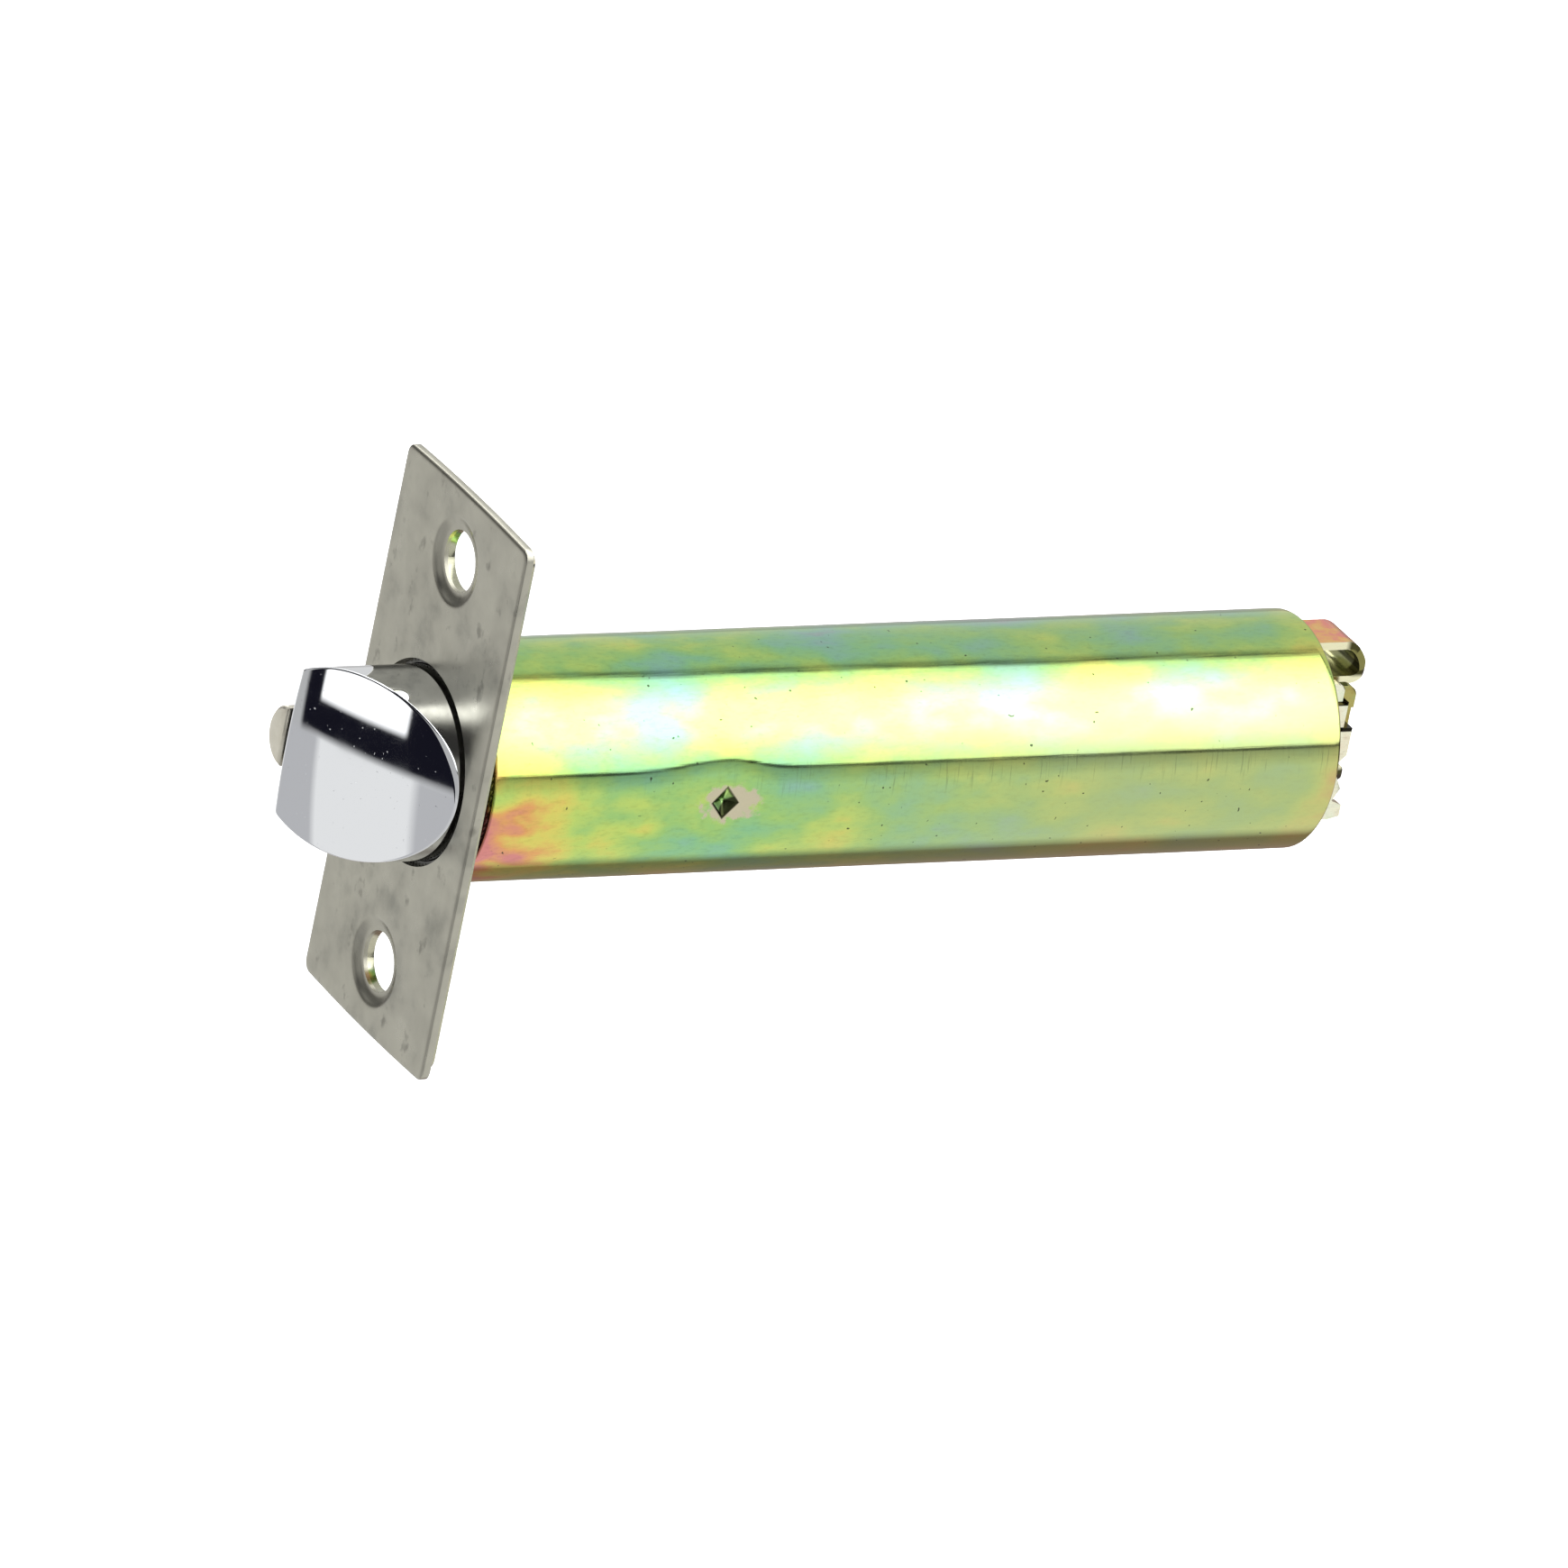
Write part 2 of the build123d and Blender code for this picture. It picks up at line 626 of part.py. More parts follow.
pieces = {
    "faceplate": make_faceplate(),
    "backplate": make_backplate(),
    "bolt_guide": make_bolt_guide(),
    "case_tube": make_case_tube(),
    "deadlock_blade": make_deadlock_blade(),
    "blade_rivet": make_blade_rivet(),
    "latch_bolt": make_latch_bolt(),
    "bolt_pin": bolt_pin(),
    "guard_plunger": make_plunger(),
    "plunger_bar": make_plunger_bar(),
    "plunger_rivet": plunger_rivet(),
    "spring_seat": make_spring_seat(),
    "spring_guide_rod": guide_rod(),
    "drawbar": make_drawbar(),
    "tail_hook_plate": make_tail_hook(),
    "tail_rivets": tail_rivet_pair(),
    "drawbar_pin": drawbar_pin(),
    "drawbar_washer": make_drawbar_washer(),
    "rear_plug": make_rear_plug(),
    "upper_prong": make_prong(1),
    "lower_prong": make_prong(-1),
    "prong_rivets": prong_rivet(1) + prong_rivet(-1),
    "bolt_spring": coil(
        bolt_pocket_x, seat_x, bolt_spring_radius, bolt_spring_wire, bolt_spring_turns, drawbar_y),
    "plunger_spring": coil(
        bar_end_x, seat_x, plunger_spring_radius, plunger_spring_wire, plunger_spring_turns,
        plunger_spring_y()),
    "drawbar_spring": coil(
        washer_x() + washer_thickness, plug_start_x, return_spring_radius, return_spring_wire,
        return_spring_turns, drawbar_y),
}

for name, piece in pieces.items():
    export_step(piece, f"parts/{name}.step")
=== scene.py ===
import json
from math import atan2, exp, hypot, pi, radians, sqrt

import bmesh
import bpy
from mathutils import Euler, Matrix, Vector, noise

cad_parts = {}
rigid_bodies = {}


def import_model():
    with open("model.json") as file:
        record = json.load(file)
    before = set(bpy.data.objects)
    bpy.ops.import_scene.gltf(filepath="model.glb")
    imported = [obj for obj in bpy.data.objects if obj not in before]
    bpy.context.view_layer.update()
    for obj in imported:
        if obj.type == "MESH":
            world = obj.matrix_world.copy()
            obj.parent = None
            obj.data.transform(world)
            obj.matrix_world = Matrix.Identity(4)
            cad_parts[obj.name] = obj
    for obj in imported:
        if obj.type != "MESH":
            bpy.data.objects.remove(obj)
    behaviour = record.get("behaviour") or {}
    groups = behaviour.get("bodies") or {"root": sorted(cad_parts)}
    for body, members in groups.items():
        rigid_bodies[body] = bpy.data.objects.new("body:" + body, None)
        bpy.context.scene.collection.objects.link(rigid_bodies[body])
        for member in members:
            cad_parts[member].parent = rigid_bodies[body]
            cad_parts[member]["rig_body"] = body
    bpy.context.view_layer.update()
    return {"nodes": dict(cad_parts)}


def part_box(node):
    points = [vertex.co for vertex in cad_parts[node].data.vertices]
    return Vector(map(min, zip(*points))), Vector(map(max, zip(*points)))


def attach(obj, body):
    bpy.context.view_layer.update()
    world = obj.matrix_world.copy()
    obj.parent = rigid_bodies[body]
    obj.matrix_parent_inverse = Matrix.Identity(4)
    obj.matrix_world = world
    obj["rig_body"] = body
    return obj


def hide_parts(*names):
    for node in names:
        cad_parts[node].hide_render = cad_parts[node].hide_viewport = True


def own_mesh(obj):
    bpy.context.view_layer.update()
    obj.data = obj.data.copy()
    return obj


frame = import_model()


# Camera
# A long lens from far off to the left of the faceplate, above it and slightly rolled, as in the photograph.
# Its place and turn were fitted to the faceplate's four edges and to the tube's outlines.
CAMERA_PLACE = Vector((-1.29275, -2.09895, 1.06417))
CAMERA_TURN = Euler((radians(66.315), radians(-10.802), radians(-27.75)))
CAMERA_LENS = 639.4
camera = bpy.data.objects.new("camera", bpy.data.cameras.new("camera"))
camera.data.lens = CAMERA_LENS
camera.data.sensor_width = 36
camera.data.clip_end = 20
camera.matrix_world = Matrix.Translation(CAMERA_PLACE) @ CAMERA_TURN.to_matrix().to_4x4()
bpy.context.scene.collection.objects.link(camera)
bpy.context.scene.camera = camera
bpy.context.scene.view_settings.view_transform = "Standard"


# Studio
# A pale floor well below the latch, under a studio whose surfaces are bands of soft light and shade
# around it: a long overhead softbox with dark frame edges, a pale table and a small window to the left.
def linear(hex_colour):
    """A linear RGBA colour from an sRGB hex value."""
    parts = [int(hex_colour[i:i + 2], 16) / 255 for i in (1, 3, 5)]
    return tuple(c / 12.92 if c < 0.04045 else ((c + 0.055) / 1.055)**2.4 for c in parts) + (1,)


def add_node(tree, kind, inputs=(), stops=(), **settings):
    """Adds one node with its settings, values and links. A ramp takes (place, hex colour or grey) stops."""
    node = tree.nodes.new(kind)
    for name, value in settings.items():
        setattr(node, name, value)
    for socket, value in dict(inputs).items():
        if isinstance(value, bpy.types.Node):
            value = value.outputs[0]
        if isinstance(value, bpy.types.NodeSocket):
            tree.links.new(value, node.inputs[socket])
        else:
            node.inputs[socket].default_value = value
    if stops:
        points = node.color_ramp.elements
        while len(points) < len(stops):
            points.new(0.5)
        for point, (place, colour) in zip(points, stops):
            point.position = place
            point.color = linear(colour) if isinstance(colour, str) else (colour, colour, colour, 1)
    return node


FLOOR_DEPTH = 0.25
FLOOR_SIZE = 8.0
floor_mesh = bpy.data.meshes.new("floor")
sheet = bmesh.new()
below = Matrix.Translation((0, 0, -FLOOR_DEPTH))
bmesh.ops.create_grid(sheet, x_segments=4, y_segments=4, size=FLOOR_SIZE, matrix=below)
sheet.to_mesh(floor_mesh)
sheet.free()
floor = bpy.data.objects.new("floor", floor_mesh)
floor.visible_glossy = False
bpy.context.scene.collection.objects.link(floor)

# White paper sweep, matt: it glows a little, so that it stays plain white with only a trace of shadow.
floor_paint = bpy.data.materials.new("white_floor")
floor_paint.use_nodes = True
floor_shader = floor_paint.node_tree.nodes["Principled BSDF"]
floor_shader.inputs["Base Color"].default_value = linear("#F4F4F4")
floor_shader.inputs["Roughness"].default_value = 0.9
floor_shader.inputs["Emission Color"].default_value = (1, 1, 1, 1)
floor_shader.inputs["Emission Strength"].default_value = 0.5
floor_mesh.materials.append(floor_paint)

studio = bpy.data.worlds.new("studio")
bpy.context.scene.world = studio
studio.use_nodes = True
sky = studio.node_tree
sky.nodes.clear()
direction = add_node(sky, "ShaderNodeTexCoord").outputs["Generated"]
axes = add_node(sky, "ShaderNodeSeparateXYZ", {0: direction})
toward_front = add_node(sky, "ShaderNodeMath", {0: axes.outputs["Y"], 1: -1.0}, operation="MULTIPLY")
toward_left = add_node(sky, "ShaderNodeMath", {0: axes.outputs["X"], 1: -1.0}, operation="MULTIPLY")
# Roll turns about the tube from the near side up, swing goes round from the bolt's end, and rise is upward.
roll = add_node(sky, "ShaderNodeMath", {0: axes.outputs["Z"], 1: toward_front}, operation="ARCTAN2")
rise = add_node(sky, "ShaderNodeMath", {0: axes.outputs["Z"]}, operation="ARCSINE")
swing = add_node(sky, "ShaderNodeMath", {0: axes.outputs["Y"], 1: toward_left}, operation="ARCTAN2")
# The softbox's back edge runs askew along the tube, and the table's edge is tilted.
SOFTBOX_SKEW = 3.9
SOFTBOX_OFFSET = -1.93
TABLE_TILT = -0.035
askew = add_node(
    sky, "ShaderNodeMath", {0: axes.outputs["X"], 1: SOFTBOX_SKEW, 2: SOFTBOX_OFFSET},
    operation="MULTIPLY_ADD")
back_roll = add_node(sky, "ShaderNodeMath", {0: roll, 1: askew}, operation="ADD")
tilted_rise = add_node(sky, "ShaderNodeMath", {0: swing, 1: TABLE_TILT, 2: rise}, operation="MULTIPLY_ADD")


def grey(level, blue=1.0):
    """A light level, with a little more or less blue."""
    return (level, level, level * blue, 1)


TABLE_EDGE = -21.4
BROWN_SHADE = (0.3, 0.23, 0.2, 1)
DARK_WALL = grey(0.02, 1.3)
# Each surface has its light, then the spans that it fills: an angle, its limits and its softness in degrees.
# A later one stands in front of an earlier one.
surfaces = [
    # Brown shade under the latch's far side, and the pale floor in front of it.
    (BROWN_SHADE, [(roll, -182, -90, 10)]),
    (grey(0.93), [(roll, -93, -2, 8)]),
    # The softbox's dark front frame, the wall behind it, its dark back frame, its cloth and bright middle.
    (grey(0.08), [(roll, 6.4, 60, 0.4)]),
    (grey(0.74), [(back_roll, 109, 190, 3)]),
    (grey(0.06), [(back_roll, 40, 109, 3.5)]),
    (grey(1.8), [(roll, 9.6, 181, 0.4), (back_roll, -180, 102.5, 0.7)]),
    (grey(3.3), [(roll, 30, 181, 18), (back_roll, -180, 84, 14)]),
    # Grey walls behind the latch and past the bolt's back.
    (grey(0.6), [(swing, 86, 122, 3), (rise, -60, 0, 5)]),
    (grey(0.5), [(swing, 1, 36, 1), (rise, -24, 9, 3)]),
    # The room beyond the bolt: dark and pale walls, from the near side round to the far side.
    (DARK_WALL, [(swing, -86, -28, 4), (rise, 22, 95, 3)]),
    (grey(0.48), [(swing, -86, -44, 4), (rise, -20, 22, 3)]),
    (grey(0.6), [(swing, 3, 86, 4), (rise, -3, 95, 3)]),
    (DARK_WALL, [(swing, -32, 34, 4), (rise, 7, 42, 3)]),
    (grey(0.12), [(swing, 26, 86, 4), (rise, -12, 12, 3)]),
    (grey(0.85), [(swing, 34, 86, 4), (rise, -95, -12, 3)]),
    (grey(0.62), [(swing, -86, -44, 2), (rise, -95, -20, 1)]),
    # The table with its paler middle, the dark room over its edge, and the window in it.
    (grey(0.52, 1.03), [(swing, -44, 34, 2), (tilted_rise, -60, TABLE_EDGE, 0.5)]),
    (grey(0.87), [(swing, -23, -2.5, 0.8), (tilted_rise, -60, TABLE_EDGE, 0.3)]),
    (grey(0.008, 1.8), [(swing, -44, 2.5, 0.5), (tilted_rise, TABLE_EDGE, 9, 0.4)]),
    (grey(1.5), [(swing, -20.2, -1.6, 0.35), (tilted_rise, -18.2, -10, 0.35)]),
]
LIGHT_BELOW = 0.45
LIGHT_ABOVE = 0.6
light = add_node(
    sky, "ShaderNodeMapRange",
    {0: rise, 1: radians(-60), 2: radians(60), 3: LIGHT_BELOW, 4: LIGHT_ABOVE})
for colour, spans in surfaces:
    mask = 1.0
    for angle, first, last, softness in spans:
        for limit, before, after in ((first, 0.0, 1.0), (last, 1.0, 0.0)):
            start, end = radians(limit - softness), radians(limit + softness)
            edge = add_node(
                sky, "ShaderNodeMapRange", {0: angle, 1: start, 2: end, 3: before, 4: after}, clamp=True)
            mask = add_node(sky, "ShaderNodeMath", {0: mask, 1: edge}, operation="MULTIPLY")
    light = add_node(sky, "ShaderNodeMix", {0: mask, 6: light, 7: colour}, data_type="RGBA").outputs[2]
background = add_node(sky, "ShaderNodeBackground", {0: light, 1: 1.0})
add_node(sky, "ShaderNodeOutputWorld", {0: background})


# Faceplate
# Satin stainless sheet, blanked with slightly bowed ends, pierced for the bolt and dimpled for two screws.
# Its face is mottled from handling, and its rim is rolled over where the press cut it out.
MM = 0.001
PLATE_CORNER = 1.2 * MM
PLATE_BOW = 0.3 * MM
PLATE_END_STEPS = 24
ROLLOVER_WIDTH = 0.6 * MM
ROLLOVER_DEPTH = 0.2 * MM
SCREW_SPACING = 42.9 * MM
SCREW_HOLE = 3.0 * MM
DIMPLE_REACH = 5 * MM
DIMPLE_STEPS = [
    (x * MM, r * MM) for x, r in (
        (0, 4.75), (0.02, 4.5), (0.08, 4.3), (0.18, 4.15),
        (0.42, 3.6), (0.5, 3.35), (0.52, 3.05), (0.9, 3.0))]
BOLT_HOLE = 10.1 * MM
BOLT_HOLE_REACH = 11.1 * MM
# Turns what is drawn flat so that it faces along the tube.
TO_YZ = Matrix(((0, 0, 1), (1, 0, 0), (0, 1, 0))).to_4x4()


def pull_out(bm, loop):
    """Extrudes a loop of edges in place, and gives the new vertices and the new loop, ready to be moved."""
    grown = bmesh.ops.extrude_edge_only(bm, edges=loop)["geom"]
    verts = {g for g in grown if isinstance(g, bmesh.types.BMVert)}
    return verts, [g for g in grown if isinstance(g, bmesh.types.BMEdge) and all(v in verts for v in g.verts)]


def plate_with_holes(low, high, holes):
    """A flat plate with bowed ends. Each hole is a height and its (depth, radius) steps, front to back."""
    bm = bmesh.new()
    half_y = (high.y - low.y) / 2
    half_z = (high.z - low.z) / 2
    corners = []
    for side in (1, -1):
        for y in [half_y * (1 - 2 * i / PLATE_END_STEPS) for i in range(PLATE_END_STEPS + 1)]:
            z = half_z - PLATE_BOW * (y / half_y)**2
            corners.append(bm.verts.new((low.x, side * y, side * z)))
    for a, b in zip(corners, corners[1:] + corners[:1]):
        bm.edges.new((a, b))
    tips = [v for v in corners if abs(v.co.y) > half_y - 1e-6]
    bmesh.ops.bevel(
        bm, geom=tips, offset=PLATE_CORNER, segments=8, profile=0.5, affect="VERTICES", material=-1)
    loops = [(bm.edges[:], 0, [(low.x, 1), (high.x, 1)])]
    for height, steps in holes:
        place = Matrix.Translation((low.x, 0, height)) @ TO_YZ
        ring = bmesh.ops.create_circle(bm, segments=128, radius=steps[0][1], matrix=place)["verts"]
        loops.append((list({e for v in ring for e in v.link_edges}), height, steps))
    bmesh.ops.triangle_fill(bm, edges=bm.edges[:], use_beauty=True)
    back = []
    for loop, height, steps in loops:
        for before, after in zip(steps, steps[1:]):
            moved, loop = pull_out(bm, loop)
            for v in moved:
                v.co.x = after[0]
                v.co.y *= after[1] / before[1]
                v.co.z = height + (v.co.z - height) * after[1] / before[1]
        back += loop
    bmesh.ops.triangle_fill(bm, edges=back, use_beauty=True)
    bmesh.ops.recalc_face_normals(bm, faces=bm.faces[:])
    return bm


def rim_edges(bm, x):
    """The edges at one depth where the flat face meets a wall."""
    found = []
    for edge in bm.edges:
        flat = [abs(face.normal.x) > 0.9 for face in edge.link_faces]
        if len(flat) == 2 and flat[0] != flat[1] and all(abs(v.co.x - x) < 1e-6 for v in edge.verts):
            found.append(edge)
    return found


def make_piece(name, bm, material, sharp_angle=35):
    """Turns a bmesh into a smooth-shaded object that keeps its sharp corners."""
    mesh = bpy.data.meshes.new(name)
    bm.to_mesh(mesh)
    bm.free()
    mesh.polygons.foreach_set("use_smooth", [True] * len(mesh.polygons))
    mesh.set_sharp_from_angle(angle=radians(sharp_angle))
    mesh.materials.append(material)
    piece = bpy.data.objects.new(name, mesh)
    bpy.context.scene.collection.objects.link(piece)
    return piece


def new_material(name):
    """A material with its node tree and its shader."""
    material = bpy.data.materials.new(name)
    material.use_nodes = True
    return material, material.node_tree, material.node_tree.nodes["Principled BSDF"]


def grain(tree, size, detail=3.0, seed=0.0):
    """Noise on object coordinates whose grain is (x, y, z) millimetres long."""
    place = add_node(tree, "ShaderNodeTexCoord").outputs["Object"]
    scale = tuple(1 / (s * MM) for s in size)
    mapped = add_node(tree, "ShaderNodeMapping", {"Vector": place, "Location": (seed,) * 3, "Scale": scale})
    return add_node(
        tree, "ShaderNodeTexNoise", {"Vector": mapped, "Scale": 1.0, "Detail": detail, "Roughness": 0.55})


# Brushed 300-series stainless: warm grey, blotched by fingerprints some 6 mm wide with stains of 2 to 3 mm,
# and satin enough to blur the bolt's reflection. Its grain, some 0.03 mm wide, is drawn 0.12 mm wide to show.
stainless, tree, shader = new_material("satin_stainless")
tone = add_node(
    tree, "ShaderNodeValToRGB", {0: grain(tree, (6, 6, 6), 5.0)},
    stops=[(0.3, "#96958A"), (0.45, "#B0AEA1"), (0.6, "#B9B7A9"), (0.75, "#A4A397")])
stain = add_node(
    tree, "ShaderNodeValToRGB", {0: grain(tree, (2.2, 2.2, 2.8), 4.0, 7.3)}, stops=[(0.62, 0.0), (0.72, 1.0)])
stained = add_node(tree, "ShaderNodeMix", {0: stain, 6: tone, 7: linear("#8F8D82")}, data_type="RGBA")
tree.links.new(stained.outputs[2], shader.inputs["Base Color"])
shader.inputs["Metallic"].default_value = 1.0
rough = add_node(
    tree, "ShaderNodeValToRGB", {0: grain(tree, (3, 3, 3), 4.0, 2.1)}, stops=[(0.3, 0.26), (0.7, 0.36)])
tree.links.new(rough.outputs[0], shader.inputs["Roughness"])
brushing = grain(tree, (0.5, 0.12, 0.9), 2.0)
bump = add_node(tree, "ShaderNodeBump", {"Strength": 0.08, "Distance": 0.02 * MM, "Height": brushing})
tree.links.new(bump.outputs[0], shader.inputs["Normal"])

low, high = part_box("faceplate")
screw_heights = (SCREW_SPACING / 2, -SCREW_SPACING / 2)
bolt_hole = [(low.x, BOLT_HOLE), (high.x, BOLT_HOLE)]
bm = plate_with_holes(low, high, [(0, bolt_hole)] + [(z, DIMPLE_STEPS) for z in screw_heights])
outline = [
    e for e in rim_edges(bm, low.x) if max(abs(v.co.y) for v in e.verts) > BOLT_HOLE_REACH
    or min(abs(v.co.z) for v in e.verts) > SCREW_SPACING / 2 + DIMPLE_REACH]
bmesh.ops.bevel(
    bm, geom=outline, offset=ROLLOVER_WIDTH, segments=5, profile=0.5, affect="EDGES", material=-1,
    clamp_overlap=False)
for v in bm.verts:
    off_screw = hypot(v.co.y, abs(v.co.z) - SCREW_SPACING / 2)
    if low.x + 1e-7 < v.co.x < high.x - 1e-7 and off_screw > DIMPLE_REACH:
        v.co.x = low.x + (v.co.x - low.x) * ROLLOVER_DEPTH / ROLLOVER_WIDTH
faceplate = make_piece("faceplate_sheet", bm, stainless)
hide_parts("faceplate")
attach(faceplate, "case")


# Backplate
# Mild steel plate, zinc plated and yellow chromated, that the guide's spigot is riveted through.
# It stands just inside the faceplate's outline, so its edge shows as a thin line.
FILM_RANGE = (0.42, 0.88)
SHIFTED_SHARE = 0.66


def yellow_chromate(name, hues, seed, patch=(16, 7, 7), roughness=(0.13, 0.26), shift=None):
    """Zinc plate with a yellow chromate film: a metal whose colour drifts as the film's thickness does.

    The patch is the size in millimetres over which the film changes. The hues run from thin film to thick.
    The shift adds the thickness that a piece gets at its ends and sides.
    """
    material, tree, shader = new_material(name)
    broad = grain(tree, patch, 2.0, seed)
    small = grain(tree, tuple(0.3 * s for s in patch), 3.0, seed + 4.7)
    film = add_node(tree, "ShaderNodeMath", {0: small, 1: 0.3, 2: broad}, operation="MULTIPLY_ADD")
    film = add_node(tree, "ShaderNodeMapRange", {0: film, 1: FILM_RANGE[0], 2: FILM_RANGE[1]})
    if shift:
        film = add_node(
            tree, "ShaderNodeMath", {0: film, 1: SHIFTED_SHARE, 2: shift(tree)}, operation="MULTIPLY_ADD")
    colour = add_node(tree, "ShaderNodeValToRGB", {0: film}, stops=hues)
    # The steel's drawing lines are a few hundredths of a millimetre wide, and are drawn 0.25 mm wide to show.
    streak = grain(tree, (9, 0.25, 0.25), 3.0, seed + 1.9)
    rough = add_node(
        tree, "ShaderNodeMapRange", {0: streak, 1: 0.3, 2: 0.7, 3: roughness[0], 4: roughness[1]})
    # Tiny scuffs from handling, finer than this in life, are drawn 0.35 mm wide to show.
    rubbed = grain(tree, (0.9, 0.35, 0.35), 4.0, seed + 9.1)
    worn = add_node(tree, "ShaderNodeValToRGB", {0: rubbed}, stops=[(0.25, 0.86), (0.5, 1.0)])
    worn_colour = add_node(
        tree, "ShaderNodeMix", {0: 1.0, 6: colour, 7: worn}, data_type="RGBA", blend_type="MULTIPLY")
    tree.links.new(worn_colour.outputs[2], shader.inputs["Base Color"])
    tree.links.new(rough.outputs[0], shader.inputs["Roughness"])
    bump = add_node(tree, "ShaderNodeBump", {"Strength": 0.12, "Distance": 0.02 * MM, "Height": streak})
    tree.links.new(bump.outputs[0], shader.inputs["Normal"])
    shader.inputs["Metallic"].default_value = 1.0
    return material


# Yellow chromate over blanked steel: worn nearly to the zinc here, so its edge looks a dull greenish grey.
PLATE_FILM = [(0.0, "#BEB49C"), (0.3, "#BDBAA2"), (0.6, "#B6B69E"), (0.85, "#ADB09C"), (1.0, "#A8AB9E")]
plate_chromate = yellow_chromate("plate_chromate", PLATE_FILM, 3.0)

BACKPLATE_EDGE = 0.1 * MM
SPIGOT_HOLE = 10.4 * MM
low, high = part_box("backplate")
screw_hole = [(low.x, SCREW_HOLE), (high.x, SCREW_HOLE)]
spigot_hole = [(low.x, SPIGOT_HOLE), (high.x, SPIGOT_HOLE)]
bm = plate_with_holes(low, high, [(0, spigot_hole)] + [(z, screw_hole) for z in screw_heights])
bmesh.ops.bevel(
    bm, geom=rim_edges(bm, high.x), offset=BACKPLATE_EDGE, segments=2, profile=0.5, affect="EDGES",
    material=-1, clamp_overlap=False)
backplate = make_piece("backplate_sheet", bm, plate_chromate)
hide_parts("backplate")
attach(backplate, "case")


# Bolt guide
# Die-cast zinc alloy, left bare, and held in the tube's front by the stake and the riveted spigot.
# The bolt and plunger slide in it, and it shows only as a dark ring round the bolt.
def mottled_metal(name, spot, detail, seed, tones, roughness):
    """A plain metal whose tone varies a little, in spots of one size in millimetres."""
    material, tree, shader = new_material(name)
    tone = add_node(tree, "ShaderNodeValToRGB", {0: grain(tree, (spot,) * 3, detail, seed)}, stops=tones)
    tree.links.new(tone.outputs[0], shader.inputs["Base Color"])
    shader.inputs["Metallic"].default_value = 1.0
    shader.inputs["Roughness"].default_value = roughness
    return material


# Bare zinc die casting: a dull mid grey with 1.5 mm clouds, and the fine skin that the die leaves on it,
# which is drawn 0.3 mm wide to show.
die_cast = mottled_metal("bare_die_cast", 1.5, 5.0, 0.0, [(0.3, "#6E6E6C"), (0.7, "#8B8B88")], 0.48)
tree = die_cast.node_tree
cast_skin = grain(tree, (0.3, 0.3, 0.3), 3.0)
bump = add_node(tree, "ShaderNodeBump", {"Strength": 0.2, "Distance": 0.03 * MM, "Height": cast_skin})
tree.links.new(bump.outputs[0], tree.nodes["Principled BSDF"].inputs["Normal"])

nodes = frame["nodes"]
WELD = 0.002 * MM


def finished_copy(node, name, material, edge=0.0, sharp_angle=35):
    """A merged, smooth-shaded copy of a node's own solid, with its sharp edges broken by a small bevel."""
    bm = bmesh.new()
    bm.from_mesh(nodes[node].data)
    bmesh.ops.remove_doubles(bm, verts=bm.verts[:], dist=WELD)
    piece = make_piece(name, bm, material, sharp_angle)
    if edge:
        softened = piece.modifiers.new("broken edges", "BEVEL")
        softened.width = edge
        softened.segments = 2
        softened.limit_method = "ANGLE"
        softened.angle_limit = radians(sharp_angle)
        softened.harden_normals = True
    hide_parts(node)
    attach(piece, nodes[node]["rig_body"])
    return piece


guide = finished_copy("bolt_guide", "guide_casting", die_cast)


# Case tube
# Drawn steel tube, zinc plated and yellow chromated, that holds all the inner pieces.
# One punched stake on the near side holds the guide, in a shallow dent whose film was knocked off.
TUBE_RADIUS = 11.8 * MM
TUBE_BORE = 10.6 * MM
TUBE_RIM = 0.3 * MM
TUBE_STEPS = 288
TUBE_CUTS = 189
STAKE_X = 28.5 * MM
STAKE_HALF = (1.45 * MM, 1.7 * MM)
STAKE_DEPTH = 0.8 * MM
STAKE_PATCH = 2.2 * MM
DENT_DEPTH = 0.5 * MM
DENT_REACH = (4.0 * MM, 2.7 * MM)
WAVE_DEPTH = 0.02 * MM
WAVE_LENGTH = 13 * MM
WAVE_ROUND = 0.6
SKIN_THICKNESS = 0.7 * MM
BESIDE_PLATE = (1.5 * MM, 12 * MM)
LOW_TO_HIGH = (-5 * MM, 5 * MM)
HIGH_TO_TOP = (5 * MM, 11 * MM)
LAST_OF_TUBE = (92 * MM, 97 * MM)
THIN_BY_PLATE = (-0.56, -0.36)
THICK_ON_TOP = (0.2, 0.34)
THIN_AT_REAR = -0.22

# Yellow chromate on bright drawn tube: an iridescent film, pink where it is thin by the plate, then yellow,
# green and teal as it thickens on top, over a tube so smooth that the softbox stands in it with sharp edges.
TUBE_FILM = [
    (0.0, "#DC8E88"), (0.12, "#E8AC6C"), (0.24, "#E2D66E"), (0.4, "#C4DC74"), (0.56, "#A4D07C"),
    (0.72, "#92CA94"), (0.88, "#90C2B0"), (1.0, "#A2B0B4")]


